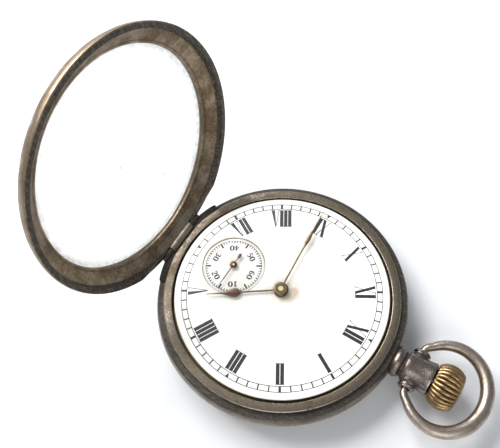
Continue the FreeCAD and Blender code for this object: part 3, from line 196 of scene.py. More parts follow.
def carve(piece, *cutters, how="DIFFERENCE"):
    """Cuts meshes out of a piece, or joins them to it."""
    for cutter in cutters:
        tool = as_object("tool", cutter)
        step = piece.modifiers.new("carve", "BOOLEAN")
        step.operation = how
        step.solver = "EXACT"
        step.object = tool
        graph = bpy.context.evaluated_depsgraph_get()
        made = bpy.data.meshes.new_from_object(piece.evaluated_get(graph))
        piece.modifiers.clear()
        old = piece.data
        piece.data = made
        made.name = piece.name
        bpy.data.meshes.remove(old)
        bpy.data.objects.remove(tool)
    return piece


def mesh_of(piece):
    """The piece's mesh for laying together with others. The piece itself goes."""
    shape = bmesh.new()
    shape.from_mesh(piece.data)
    bpy.data.meshes.remove(piece.data)
    return shape


def complete(piece, finish, placed=None, sharp_deg=32.0):
    """Keeps each point's place on the bench in mm, moves the piece to its place in metres,
    smooths it and gives it its finish."""
    mesh = piece.data
    bench = mesh.attributes.new("bench", "FLOAT_VECTOR", "POINT")
    bench.data.foreach_set("vector", [c for v in mesh.vertices for c in v.co])
    mesh.transform(Matrix.Scale(MM, 4) @ (placed or Matrix.Identity(4)))
    mesh.shade_smooth()
    mesh.set_sharp_from_angle(angle=math.radians(sharp_deg))
    mesh.materials.clear()
    mesh.materials.append(finish)
    return piece


def new_finish(name, metallic, roughness, colour=(0.5, 0.5, 0.5)):
    """Material with a plain shader, for mixing on."""
    finish = bpy.data.materials.new(name)
    finish.use_nodes = True
    shader = finish.node_tree.nodes["Principled BSDF"]
    shader.inputs["Metallic"].default_value = metallic
    shader.inputs["Roughness"].default_value = roughness
    shader.inputs["Base Color"].default_value = (*colour, 1)
    return finish.node_tree, shader


def node(tree, kind, inputs=None, **settings):
    """Adds a node. An input is a number, a colour or another node's output."""
    made = tree.nodes.new("ShaderNode" + kind)
    for name, value in settings.items():
        setattr(made, name, value)
    for name, value in (inputs or {}).items():
        if isinstance(value, bpy.types.NodeSocket):
            tree.links.new(value, made.inputs[name])
        else:
            made.inputs[name].default_value = value
    return made


def calc(tree, how, *values):
    """Result of one sum."""
    return node(tree, "Math", dict(enumerate(values)), operation=how).outputs[0]


def fade(tree, value, low, high, start=0.0, end=1.0):
    """Value carried smoothly from one range to another."""
    made = node(tree, "MapRange", {"Value": value, "From Min": low, "From Max": high,
                                   "To Min": start, "To Max": end},
                interpolation_type="SMOOTHSTEP")
    return made.outputs[0]


def blotches(tree, place, scale, detail=5.0, roughness=0.6):
    """Cloudy pattern of about 1 / scale millimetres."""
    return node(tree, "TexNoise", {"Vector": place, "Scale": scale, "Detail": detail,
                                   "Roughness": roughness}).outputs["Fac"]


def blend_colours(tree, share, first, second):
    """Colour between two, by a share."""
    made = node(tree, "Mix", {0: share}, data_type="RGBA")
    for socket, value in ((made.inputs[6], first), (made.inputs[7], second)):
        if isinstance(value, bpy.types.NodeSocket):
            tree.links.new(value, socket)
        else:
            socket.default_value = (*value, 1)
    return made.outputs[2]


def bench_place(tree):
    """Where a point was on the bench, in mm: its vector, radius and height."""
    place = node(tree, "Attribute", attribute_name="bench").outputs["Vector"]
    split = node(tree, "SeparateXYZ", {0: place})
    x, y, z = (split.outputs[k] for k in range(3))
    radius = calc(tree, "SQRT", calc(tree, "ADD", calc(tree, "MULTIPLY", x, x),
                                     calc(tree, "MULTIPLY", y, y)))
    return place, radius, x, y, z


def scratches(tree, place, scale=9.0):
    """Hairline scratches in two directions."""
    lines = []
    for angle, seed in ((0.5, 3.0), (-0.9, 11.0)):
        turned = node(tree, "Mapping", {"Vector": place, "Rotation": (0.2, 0.1, angle),
                                        "Scale": (scale, scale * 0.05, scale * 0.3),
                                        "Location": (seed, seed, seed)}).outputs[0]
        noise = node(tree, "TexNoise", {"Vector": turned, "Scale": 1.0, "Detail": 2.0}).outputs["Fac"]
        lines.append(fade(tree, noise, 0.60, 0.66))
    return calc(tree, "MAXIMUM", *lines)


def turning_lines(tree, radius, z, pitch=0.11):
    """Fine rings that the turning tool leaves."""
    across = calc(tree, "ADD", radius, calc(tree, "MULTIPLY", z, 0.83))
    return calc(tree, "SINE", calc(tree, "MULTIPLY", across, math.tau / pitch))


def roughen(tree, shader, low, high, share):
    """Roughness that runs between two values."""
    tree.links.new(fade(tree, share, 0.0, 1.0, low, high), shader.inputs["Roughness"])


def relief(tree, shader, height, depth_mm, strength=1.0):
    """Small relief on the surface."""
    bump = node(tree, "Bump", {"Height": height, "Strength": strength, "Distance": depth_mm * MM})
    tree.links.new(bump.outputs[0], shader.inputs["Normal"])


def tarnished_silver(name, bright, brown, dark_mask, brown_level=0.5, rough=(0.28, 0.5), highlight_and_wear=None):
    """Old silver: brown in clouds, black where dark_mask says (tarnish, and painted shade where a mask
    adds it), with the painted highlights and wear that the (mask, colour) of the last argument gives."""
    tree, shader = new_finish(name, 1.0, 0.4)
    place, radius, x, y, z = bench_place(tree)
    wide = blotches(tree, place, 0.22)
    fine = blotches(tree, place, 1.6, 8.0, 0.7)
    cloud = calc(tree, "ADD", calc(tree, "MULTIPLY", wide, 0.6), calc(tree, "MULTIPLY", fine, 0.4))
    browned = fade(tree, cloud, brown_level - 0.13, brown_level + 0.13)
    colour = blend_colours(tree, browned, bright, brown)
    black = dark_mask(tree, radius, x, y, z)
    black = calc(tree, "MULTIPLY", black, fade(tree, fine, 0.3, 0.55, 0.72, 1.0))
    colour = blend_colours(tree, black, colour, (0.030, 0.026, 0.022))
    lines = scratches(tree, place)
    colour = blend_colours(tree, calc(tree, "MULTIPLY", lines, 0.35), colour, bright)
    if highlight_and_wear:
        share = calc(tree, "MULTIPLY", highlight_and_wear[0](tree, radius, x, y, z), fade(tree, fine, 0.36, 0.56))
        colour = blend_colours(tree, share, colour, highlight_and_wear[1])
    tree.links.new(colour, shader.inputs["Base Color"])
    tree.links.new(fade(tree, black, 0.0, 1.0, 1.0, 0.55), shader.inputs["Metallic"])
    roughen(tree, shader, rough[0], rough[1], calc(tree, "MAXIMUM", black, browned))
    groove = calc(tree, "MULTIPLY", turning_lines(tree, radius, z), 0.12)
    surface = calc(tree, "SUBTRACT", calc(tree, "ADD", fine, groove),
                   calc(tree, "MULTIPLY", lines, 0.4))
    relief(tree, shader, surface, 0.03, 0.6)
    return bpy.data.materials[name]


def middle_black(tree, radius, x, y, z):
    """Black tarnish on the ledge and the lugs and down the flange's wall; in the bore, thinner tarnish
    under painted shade that deepens downward.
    """
    ledge = calc(tree, "MULTIPLY", fade(tree, radius, 23.98, 24.12), fade(tree, z, 6.9, 7.5, 0.0, 0.93))
    # Painted shade: the bore darkens further down, over thin tarnish.
    bore = calc(tree, "MULTIPLY", fade(tree, radius, 22.5, 22.36), fade(tree, z, 8.2, 7.3, 0.35, 0.75))
    return calc(tree, "MAXIMUM", ledge, bore)


def middle_highlight_and_wear(tree, radius, x, y, z):
    """Painted highlights on the flange's two edges, broken by wear, and worn silver round the widest part
    of the band.
    """
    # Painted highlight: the flange's inner and outer edges, broken up by wear.
    outer = calc(tree, "MULTIPLY", fade(tree, radius, 23.9, 24.02), fade(tree, radius, 24.16, 24.12))
    edges = calc(tree, "MAXIMUM", outer, fade(tree, radius, 22.52, 22.42))
    edges = calc(tree, "MULTIPLY", edges, fade(tree, z, 8.25, 8.36, 0.0, 0.9))
    edges = calc(tree, "MULTIPLY", edges, fade(tree, y, -23.0, -21.5))
    return calc(tree, "MAXIMUM", edges, fade(tree, radius, 25.74, 25.9, 0.0, 0.7))


middle = as_object("case_middle_silver", lathe(softened(drawn(MIDDLE_OUTLINE))))
carve(middle,
      pin_bar(KNUCKLE_ROOM, HINGE_Y, HINGE_Z, -LUG_START, LUG_START, CRISP),
      bar([(y, max(z, LEDGE_Z)) for y, z in round_section(FLANGE_GAP_R, HINGE_Y, HINGE_Z)],
          -FLANGE_GAP_HALF, FLANGE_GAP_HALF),
      pin_bar(BACK_ROOM, BACK_HINGE_Y, BACK_HINGE_Z, -BACK_HINGE_HALF, BACK_HINGE_HALF, CRISP))


END_TUCK, END_TUCK_DEG = 0.22, 0.8


def ring_piece(start_deg, end_deg, outline, steps=20):
    """Piece of a ring, its cross-section (radius, z), between two angles at VI, with
    rounded ends."""
    shape = bmesh.new()
    rows = []
    middle_r = sum(r for r, z in outline) / len(outline)
    middle_z = sum(z for r, z in outline) / len(outline)
    for k in range(steps + 1):
        along = k / steps
        angle = math.radians(start_deg + (end_deg - start_deg) * along - 90)
        near_end = min(along, 1 - along) * abs(end_deg - start_deg)
        tuck = END_TUCK * (1 - min(1.0, near_end / END_TUCK_DEG)) ** 2
        rows.append([shape.verts.new(((r + (middle_r - r) * tuck) * math.cos(angle),
                                      (r + (middle_r - r) * tuck) * math.sin(angle),
                                      z + (middle_z - z) * tuck)) for r, z in outline])
    skin(shape, rows)
    bmesh.ops.recalc_face_normals(shape, faces=shape.faces)
    return shape


LUG_SECTION = [(LUG_INNER, 7.3), (LUG_OUTER - 0.12, 7.2), (LUG_OUTER, 7.4), (LUG_OUTER, 8.3),
               (LUG_OUTER - 0.15, 8.6), (LUG_OUTER - 0.15, LUG_HIGH), (LUG_INNER, LUG_HIGH)]
KNUCKLE_WEB = [(-25.55, 8.4), (-25.4, 7.4), (-24.6, 5.9), (-23.9, 5.9), (-23.9, 8.4)]
BACK_LUG_SECTION = [(-25.9, 3.4), (-24.6, 3.4), (-24.6, 4.6), (-25.6, 4.6)]
lug_from, lug_to = (math.degrees(math.asin(x / LUG_OUTER)) for x in (LUG_START, LUG_HALF))
lugs = []
for side in (-1, 1):
    lugs.append(ring_piece(side * lug_from, side * lug_to, LUG_SECTION))
    near, far = sorted((side * CASE_KNUCKLE_START, side * BACK_HINGE_HALF))
    lugs.append(pin_bar(BACK_KNUCKLE_R, BACK_HINGE_Y, BACK_HINGE_Z, near, far))
    lugs.append(bar(BACK_LUG_SECTION, near, far))
    near, far = sorted((side * CASE_KNUCKLE_START, side * COVER_LUG_END))
    lugs.append(pin_bar(COVER_KNUCKLE_R, COVER_HINGE_Y, COVER_HINGE_Z, near, far))
hinge_lugs = carve(as_object("case_hinge_lugs", *lugs),
                   bar(LUG_SLOPE + [(-21.9, 11), (-27.0, 11)], -LUG_HALF - 1, LUG_HALF + 1))
knuckles = []
for side in (-1, 1):
    near, far = sorted((side * LUG_START, side * HINGE_HALF))
    knuckles.append(pin_bar(KNUCKLE_R, HINGE_Y, HINGE_Z, near, far, 0.12))
    knuckles.append(bar(softened(KNUCKLE_WEB, 0.1), near, far))
hinge_lugs = as_object("case_hinge_lugs", mesh_of(hinge_lugs), *knuckles)
# The last colour is painted highlight on the flange's edges and worn silver round the band.
case_silver = tarnished_silver("worn_case_silver", (0.23, 0.195, 0.155), (0.095, 0.072, 0.050),
                               middle_black, 0.5, (0.26, 0.46), (middle_highlight_and_wear, (0.46, 0.40, 0.33)))
for piece in (middle, hinge_lugs):
    complete(piece, case_silver)
    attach(piece, "case")
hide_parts("case_middle")


# ---- Hinge pins --------------------------------------------------------------------------
# Drawn steel wire, driven through the knuckles of the three hinges and cut flush.
# A little rust has crept over them.
def worn_steel(name, colour, stain, rough=0.3, stain_level=0.56):
    """Bare steel with a few stains and fine grain."""
    tree, shader = new_finish(name, 1.0, rough)
    place = node(tree, "TexCoord").outputs["Object"]
    spots = blotches(tree, place, 900.0, 6.0)
    stained = fade(tree, spots, stain_level, stain_level + 0.14, 0.0, 0.8)
    tree.links.new(blend_colours(tree, stained, colour, stain), shader.inputs["Base Color"])
    roughen(tree, shader, rough, min(rough + 0.3, 0.9), stained)
    grain = blotches(tree, place, 6000.0, 3.0)
    relief(tree, shader, grain, 0.004, 0.5)
    return bpy.data.materials[name]


def dress(nodes, finish):
    """Gives carried-over parts their finish."""
    for name in nodes:
        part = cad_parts[name]
        part.data.materials.clear()
        part.data.materials.append(finish)


pin_steel = worn_steel("rusty_pin_steel", (0.34, 0.32, 0.30), (0.13, 0.06, 0.03))
dress(["bezel_hinge_pin", "rear_hinge_pins"], pin_steel)


# ---- Bezel -------------------------------------------------------------------------------
# Silver ring, turned with a flat rim, a hollow cone and a groove for the glass, its rim filed
# back beside the hinge. A curved strap with the middle knuckle is soldered inside at VI. It
# stands open on its hinge. The rim is black, the cone brown. The outside and the edge of the
# opening carry a painted copper highlight, broken by wear.
BEZEL_OPEN = math.radians(101.8)
BEZEL_OUTLINE = [
    (24.45, 7.65), (25.5, 7.65), (25.6, 7.8), (25.6, 8.25), (24.85, 10.15, 22.7, 11.6),
    (21.65, 11.65), (21.65, 11.42), (22.05, 11.42), (22.05, 10.82), (21.4, 10.82),
    (21.4, 10.35), (21.75, 10.35), (24.4, 8.75)]
STRAP_HALF_DEG = 15.2
STRAP_SECTION = [(24.05, 8.76), (24.35, 8.95), (22.75, 9.98), (22.45, 9.70)]
LUG_GAP, FILED_HALF = 0.12, 14.5
KNUCKLE_PLAY = 0.15
STRAP_KNUCKLE_R = 0.95
STRAP_ARM = [(-24.9, 8.95), (-24.2, 8.95), (-23.6, 9.55), (-24.9, 9.7)]
hinge_axis = Vector((0, HINGE_Y, HINGE_Z))
swung_open = (Matrix.Translation(hinge_axis) @ Matrix.Rotation(BEZEL_OPEN, 4, "X")
              @ Matrix.Translation(-hinge_axis))


def bezel_black(tree, radius, x, y, z):
    """Black on the flat rim, in the corner above it and round the glass's seat."""
    rim = fade(tree, z, 8.8, 8.62)
    corner = calc(tree, "MULTIPLY", fade(tree, radius, 24.0, 24.35), fade(tree, z, 9.2, 9.0))
    outside = fade(tree, radius, 25.3, 25.45, 1.0, 0.25)
    from_seat = calc(tree, "ABSOLUTE", calc(tree, "SUBTRACT", radius, 21.95))
    seat = fade(tree, from_seat, 0.2, 0.08, 0.0, 0.6)
    darkest = calc(tree, "MAXIMUM", calc(tree, "MAXIMUM", rim, corner), seat)
    return calc(tree, "MULTIPLY", darkest, outside)


def no_black(tree, radius, x, y, z):
    """Nothing is black here."""
    return calc(tree, "MULTIPLY", radius, 0.0)


def bezel_highlight_and_wear(tree, radius, x, y, z):
    """Painted copper-coloured highlight, broken by wear, round the outside and at the edge of the
    opening.
    """
    # Painted highlight: the outer face and the rim of the opening, broken by wear.
    outside = calc(tree, "MULTIPLY", fade(tree, radius, 25.42, 25.56), fade(tree, z, 7.7, 7.85))
    return calc(tree, "MAXIMUM", outside, fade(tree, radius, 21.75, 21.62, 0.0, 0.5))


bezel = as_object("bezel_silver", lathe(softened(drawn(BEZEL_OUTLINE, 16))))
bezel_room = HINGE_HALF + KNUCKLE_PLAY
carve(bezel, pin_bar(KNUCKLE_R + KNUCKLE_PLAY, HINGE_Y, HINGE_Z, -bezel_room, bezel_room, CRISP),
      bar([(y, z + LUG_GAP) for y, z in LUG_SLOPE] + [(-21.9, 5), (-27.0, 5)], -FILED_HALF, FILED_HALF))
knuckle = as_object("bezel_knuckle",
                    pin_bar(STRAP_KNUCKLE_R, HINGE_Y, HINGE_Z, -KNUCKLE_HALF, KNUCKLE_HALF, 0.12),
                    bar(softened(STRAP_ARM, 0.08), -KNUCKLE_HALF, KNUCKLE_HALF),
                    ring_piece(-STRAP_HALF_DEG, STRAP_HALF_DEG, STRAP_SECTION, 28))
# The last colour is the painted copper highlight on the outside and round the opening.
bezel_brown = tarnished_silver("brown_bezel_silver", (0.37, 0.30, 0.22), (0.145, 0.10, 0.06),
                               bezel_black, 0.47, (0.28, 0.46), (bezel_highlight_and_wear, (0.24, 0.18, 0.125)))
strap_silver = tarnished_silver("pale_strap_silver", (0.30, 0.26, 0.20), (0.16, 0.125, 0.085), no_black,
                                0.5, (0.42, 0.55))
for piece, finish in ((bezel, bezel_brown), (knuckle, strap_silver)):
    complete(piece, finish, swung_open)
    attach(piece, "bezel")
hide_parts("front_bezel")


# ---- Glass -------------------------------------------------------------------------------
# Thin domed crystal, ground to a bevel at its edge and snapped into the bezel's groove.
# It is clear, with dust specks and a hazy line near the edge where dirt has gathered.
GLASS_R = 22.0
GLASS_INSIDE_TOP, GLASS_TOP = 12.2, 13.0


def dome(apex, edge_r, edge_z):
    """Middle point of the arc between a rim and an apex on the axis."""
    rise = apex - edge_z
    radius = (edge_r ** 2 + rise ** 2) / (2 * rise)
    return (edge_r / 2, apex - radius + math.copysign(math.sqrt(radius ** 2 - edge_r ** 2 / 4), rise))


glass_path = drawn([
    (0, GLASS_INSIDE_TOP), (*dome(GLASS_INSIDE_TOP, GLASS_R - 0.15, 10.85), GLASS_R - 0.15, 10.85),
    (GLASS_R, 10.95), (GLASS_R, 11.15), (GLASS_R - 0.1, 11.25),
    (*dome(GLASS_TOP, GLASS_R - 0.1, 11.25), 0, GLASS_TOP)], 20)
crystal = as_object("watch_glass", lathe(glass_path))


def clear_glass(name):
    """Clear glass with a faint gloss, specks of dust and haze near its rim."""
    tree, shader = new_finish(name, 0.0, 0.9, (0.48, 0.47, 0.42))
    place, radius = bench_place(tree)[:2]
    clear = node(tree, "BsdfTransparent", {"Color": (0.985, 0.99, 0.99, 1)})
    gloss = node(tree, "BsdfGlossy", {"Color": (1, 1, 1, 1), "Roughness": 0.02})
    share = node(tree, "Fresnel", {"IOR": 1.32}).outputs[0]
    pane = node(tree, "MixShader", {0: calc(tree, "MINIMUM", share, 0.35), 1: clear.outputs[0],
                                    2: gloss.outputs[0]})
    cells = node(tree, "TexVoronoi", {"Vector": place, "Scale": 0.33})
    size = fade(tree, blotches(tree, place, 0.9), 0.45, 0.7, 0.0, 0.085)
    speck = calc(tree, "LESS_THAN", cells.outputs["Distance"], size)
    dirt = blotches(tree, place, 0.8, 8.0, 0.75)
    haze = calc(tree, "MULTIPLY", fade(tree, radius, 19.3, 21.2, 0.0, 0.42),
                fade(tree, dirt, 0.25, 0.75, 0.25, 1.0))
    cover = calc(tree, "MAXIMUM", calc(tree, "MULTIPLY", speck, 0.75), haze)
    mixed = node(tree, "MixShader", {0: cover, 1: pane.outputs[0], 2: shader.outputs[0]})
    dust = blend_colours(tree, speck, (0.50, 0.49, 0.44), (0.10, 0.09, 0.07))
    tree.links.new(dust, shader.inputs["Base Color"])
    tree.links.new(mixed.outputs[0], tree.nodes["Material Output"].inputs["Surface"])
    return bpy.data.materials[name]


complete(crystal, clear_glass("dusty_glass"), swung_open, 60)
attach(crystal, "bezel")
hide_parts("crystal")


# ---- Case back ---------------------------------------------------------------------------
# Outer lid, pressed and turned from sheet silver, flat in the middle so the watch lies
# still, with a lip for the thumb and a knuckle for its hinge. Polished, now scratched.
BACK_OUTLINE = [
    (0, 0), (13, 0), (19.5, 0.42, 23.8, 1.05), (25.0, 1.85, 25.35, 3.3), (24.3, 3.3), (24.3, 2.5),
    (24.0, 1.85, 23.3, 1.45), (19.4, 0.87, 13, 0.45), (0, 0.45)]
LIP_DEG, LIP_SPAN_DEG = 113.0, 10.0
BACK_ARM = [(-25.6, 2.2), (-24.7, 2.2), (-24.7, 3.0), (-25.6, 3.0)]


def back_black(tree, radius, x, y, z):
    """Black only in the corner where the lid snaps on."""
    return calc(tree, "MULTIPLY", fade(tree, radius, 24.6, 24.35), fade(tree, z, 2.0, 2.5, 0.0, 0.8))


def thumb_lip():
    """Small ledge at the lid's edge for opening it."""
    shape = bmesh.new()
    rows = []
    for k in range(13):
        angle = math.radians(LIP_DEG + LIP_SPAN_DEG * k / 12)
        out = 25.2 + 0.9 * math.sin(math.pi * k / 12) ** 0.5
        rows.append([shape.verts.new((r * math.cos(angle), r * math.sin(angle), z))
                     for r, z in ((24.9, 2.75), (out, 2.85), (out, 3.15), (24.9, 3.25))])
    skin(shape, rows)
    bmesh.ops.recalc_face_normals(shape, faces=shape.faces)
    return shape


back = as_object("back_lid_silver", lathe(softened(drawn(BACK_OUTLINE, 16))))
carve(back, *(pin_bar(BACK_ROOM, BACK_HINGE_Y, BACK_HINGE_Z, start, start + 4.17, CRISP)
              for start in (-6.15, 1.98)))
back = as_object("back_lid", mesh_of(back), thumb_lip(),
                 pin_bar(BACK_KNUCKLE_R, BACK_HINGE_Y, BACK_HINGE_Z, -LID_KNUCKLE_HALF, LID_KNUCKLE_HALF),
                 bar(BACK_ARM, -LID_KNUCKLE_HALF, LID_KNUCKLE_HALF))
complete(back, tarnished_silver("polished_back_silver", (0.42, 0.38, 0.33), (0.24, 0.195, 0.15),
                                back_black, 0.6, (0.16, 0.36)))
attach(back, "back")
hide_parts("case_back")


# ---- Inner cover -------------------------------------------------------------------------
# Thin silver dust cover under the back, domed over the movement, on a hinge of its own.
# It is kept from the air, so it is the brightest silver on the watch.
COVER_OUTLINE = [
    (0, 1.45), (*dome(1.45, 21.9, 1.95), 21.9, 1.95), (22.6, 2.1, 23.1, 2.5), (23.1, 2.95),
    (22.2, 2.95), (22.2, 2.6), (21.9, 2.35, 21.4, 2.25), (*dome(1.75, 21.4, 2.25), 0, 1.75)]
COVER_ARM = [(-23.5, 2.3), (-22.6, 2.3), (-22.6, 2.65), (-23.5, 2.65)]
cover = as_object("inner_cover_silver", lathe(softened(drawn(COVER_OUTLINE, 16), 0.04)))
carve(cover, *(pin_bar(COVER_ROOM, COVER_HINGE_Y, COVER_HINGE_Z, start, start + 1.28, CRISP)
               for start in (-3.3, 2.02)))
cover = as_object("inner_cover", mesh_of(cover),
                  pin_bar(COVER_KNUCKLE_R, COVER_HINGE_Y, COVER_HINGE_Z,
                          -LID_KNUCKLE_HALF, LID_KNUCKLE_HALF),
                  bar(COVER_ARM, -LID_KNUCKLE_HALF, LID_KNUCKLE_HALF))
complete(cover, tarnished_silver("bright_cover_silver", (0.56, 0.52, 0.46), (0.36, 0.31, 0.24),
                                 no_black, 0.62, (0.14, 0.30)))
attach(cover, "inner_cover")
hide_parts("cuvette")


# ---- Pendant -----------------------------------------------------------------------------
# Hollow silver neck, turned with a bead, a groove and a barrel, and soldered to the middle.
# A small cup on each side takes the bow. Black stays in the groove and round the cups.
STEM_Z = 5.6
BOW_PIVOT_Y = 29.8
PENDANT_OUTLINE = [
    (1.6, 24.6), (1.85, 24.6), (1.85, 25.4), (2.6, 25.4), (3.15, 26.2, 2.65, 27.3), (2.5, 27.4),
    (2.5, 27.8), (2.85, 27.9), (3.0, 28.4), (3.05, 31.0, 3.3, 32.9), (3.3, 33.3), (3.1, 33.5),
    (1.6, 33.5)]
CUP_OUTLINE = [
    (0.6, 2.3), (1.9, 2.3), (1.72, 2.95), (1.5, 3.25), (1.5, 3.5), (1.7, 3.58, 1.7, 3.82), (1.5, 3.9),
    (1.46, 4.1), (0.95, 4.1), (0.95, 3.8), (0.6, 3.8)]
on_stem = Matrix(((1, 0, 0, 0), (0, 0, 1, 0), (0, -1, 0, STEM_Z), (0, 0, 0, 1)))


def pendant_black(tree, radius, x, y, z):
    """Black in the groove, beside the bead and at the foot of the cups."""
    groove = calc(tree, "MULTIPLY", fade(tree, z, 27.15, 27.35), fade(tree, z, 28.15, 27.9))
    neck = fade(tree, z, 25.75, 25.5)
    aside = calc(tree, "ABSOLUTE", x)
    near_cup = calc(tree, "ABSOLUTE", calc(tree, "SUBTRACT", z, BOW_PIVOT_Y))
    foot = calc(tree, "MULTIPLY", fade(tree, aside, 2.2, 2.6), fade(tree, aside, 3.5, 3.2))
    foot = calc(tree, "MULTIPLY", foot, fade(tree, near_cup, 2.6, 1.6, 0.0, 0.9))
    return calc(tree, "MAXIMUM", calc(tree, "MAXIMUM", groove, neck), foot)


def side_cup(side):
    """Cup that one end of the bow turns in."""
    shape = lathe(softened(drawn(CUP_OUTLINE, 6), 0.05), 48)
    shape.transform(Matrix(((0, 0, side, 0), (1, 0, 0, 0), (0, 1, 0, BOW_PIVOT_Y), (0, 0, 0, 1))))
    bmesh.ops.recalc_face_normals(shape, faces=shape.faces)
    return shape


pendant = as_object("pendant_silver", lathe(softened(drawn(PENDANT_OUTLINE, 10)), 96))
pendant = as_object("pendant_neck", mesh_of(pendant), side_cup(1), side_cup(-1))
complete(pendant, tarnished_silver("pale_pendant_silver", (0.27, 0.225, 0.205), (0.12, 0.094, 0.08),
                                   pendant_black, 0.54, (0.22, 0.40)), on_stem)
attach(pendant, "case")
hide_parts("pendant")


# ---- Bow ---------------------------------------------------------------------------------
# Ring of silver wire, thicker at the outer end, its two ends bent in and sprung into the
# pendant's cups. Carried on a chain for years, so it is worn pale and scratched.
BOW_HALF_WIDTH, BOW_HALF_LENGTH, BOW_RING_Y = 8.55, 7.55, 36.3
BOW_WIRE_R, BOW_END_R, BOW_PIN_R = 1.36, 0.82, 0.55
BOW_START_DEG = -44.0
BOW_TURNED_END = [(5.55, 30.32, 0.80), (4.95, 29.84, 0.72), (4.2, BOW_PIVOT_Y, 0.6),
                  (3.6, BOW_PIVOT_Y, BOW_PIN_R), (2.72, BOW_PIVOT_Y, BOW_PIN_R)]


def swept_wire(route, sides=32):
    """Round wire of changing radius along (x, y, radius) points in one plane."""
    shape = bmesh.new()
    rings = []
    for index, (px, py, radius) in enumerate(route):
        ahead = Vector(route[min(index + 1, len(route) - 1)][:2])
        heading = (ahead - Vector(route[max(index - 1, 0)][:2])).normalized()
        across = Vector((heading.y, -heading.x))
        rings.append([shape.verts.new((
            px + across.x * radius * math.cos(math.tau * k / sides),
            radius * math.sin(math.tau * k / sides),
            py + across.y * radius * math.cos(math.tau * k / sides))) for k in range(sides)])
    skin(shape, rings)
    bmesh.ops.recalc_face_normals(shape, faces=shape.faces)
    return shape


def eased(route, rounds=3):
    """Route with its corners cut away."""
    for _ in range(rounds):
        cut = [route[0]]
        for first, second in zip(route, route[1:]):
            cut += [tuple(a + (b - a) * share for a, b in zip(first, second)) for share in (0.25, 0.75)]
        route = cut + [route[-1]]
    return route


ring_part = []
for step in range(41):
    along = step / 40
    angle = math.radians(180 - BOW_START_DEG + (2 * BOW_START_DEG - 180) * along)
    wire = BOW_END_R + (BOW_WIRE_R - BOW_END_R) * max(0.0, math.sin(math.pi * along)) ** 0.7
    ring_part.append((BOW_HALF_WIDTH * math.cos(angle), BOW_RING_Y + BOW_HALF_LENGTH * math.sin(angle),
                      wire))
bow_route = eased([(-x, y, r) for x, y, r in reversed(BOW_TURNED_END)] + ring_part + BOW_TURNED_END)
bow = as_object("bow_silver", swept_wire(bow_route))
complete(bow, tarnished_silver("worn_bow_silver", (0.44, 0.38, 0.33), (0.20, 0.16, 0.125),
                               no_black, 0.52, (0.30, 0.42)), on_stem, 50)
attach(bow, "bow")
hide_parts("bow")


# ---- Crown and stem ----------------------------------------------------------------------
# Onion-shaped winding button of brass on a steel stem, with rounded flutes for the fingers.
# The plating has worn off the ridges and dirt fills the flutes.
CROWN_START, CROWN_END, CROWN_R = 33.7, 39.2, 4.5
CROWN_BULGE = 0.95
CROWN_FLUTES = 28
FLUTE_DEPTH = 0.085
crown_middle = (CROWN_START + CROWN_END - 0.5) / 2
crown_half = crown_middle - CROWN_START
CROWN_OUTLINE = [
    (0.0, CROWN_END - 1.6), (0.75, CROWN_END - 1.6), (0.75, CROWN_START),
    (CROWN_R - CROWN_BULGE - 0.1, CROWN_START),
    (CROWN_R - CROWN_BULGE, CROWN_START + 0.1),
    (CROWN_R, crown_middle, CROWN_R - CROWN_BULGE, crown_middle + crown_half),
    (*dome(CROWN_END, CROWN_R - CROWN_BULGE, crown_middle + crown_half), 0.0, CROWN_END)]
crown_path = softened(drawn(CROWN_OUTLINE, 14), 0.12)


def fluted(radius, angle, index):
    """Rounded ridges between narrow grooves, fading out at both ends of the crown."""
    height = crown_path[index][1]
    if radius < 3.0:
        return radius
    ends = min(1.0, (height - CROWN_START) / 0.5, (CROWN_END - 0.25 - height) / 0.5)
    ridge = abs(math.sin(angle * CROWN_FLUTES / 2)) ** 0.75
    return radius * (1 - FLUTE_DEPTH * max(0.0, ends) * (1 - ridge))


def worn_brass(name):
    """Brass: bright on the ridges, dark brown down in the flutes."""
    tree, shader = new_finish(name, 1.0, 0.35)
    place, radius, _, _, z = bench_place(tree)
    along = calc(tree, "SUBTRACT", z, crown_middle)
    bulge = calc(tree, "MULTIPLY", calc(tree, "MULTIPLY", along, along),
                 -CROWN_BULGE / crown_half ** 2)
    full = calc(tree, "ADD", bulge, CROWN_R)
    depth = calc(tree, "SUBTRACT", full, radius)
    dirt = blotches(tree, place, 1.4, 7.0)
    low = calc(tree, "ADD", depth, fade(tree, dirt, 0.3, 0.7, -0.04, 0.10))
    dark = fade(tree, low, 0.08, 0.34)
    dark = calc(tree, "MULTIPLY", dark, fade(tree, z, CROWN_END - 0.55, CROWN_END - 0.85))
    brass = blend_colours(tree, fade(tree, dirt, 0.35, 0.7), (0.40, 0.27, 0.14), (0.25, 0.16, 0.075))
    tree.links.new(blend_colours(tree, dark, brass, (0.05, 0.03, 0.012)), shader.inputs["Base Color"])
    roughen(tree, shader, 0.34, 0.6, dark)
    relief(tree, shader, dirt, 0.03, 0.5)
    return bpy.data.materials[name]


crown = as_object("winding_crown", lathe(crown_path, CROWN_FLUTES * 14, fluted))
complete(crown, worn_brass("worn_crown_brass"), on_stem, 60)
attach(crown, "crown")
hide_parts("crown")
bright_steel = worn_steel("bright_steel", (0.50, 0.50, 0.51), (0.30, 0.27, 0.24), 0.22)
dress(["pendant_sleeve", "winding_stem"], bright_steel)
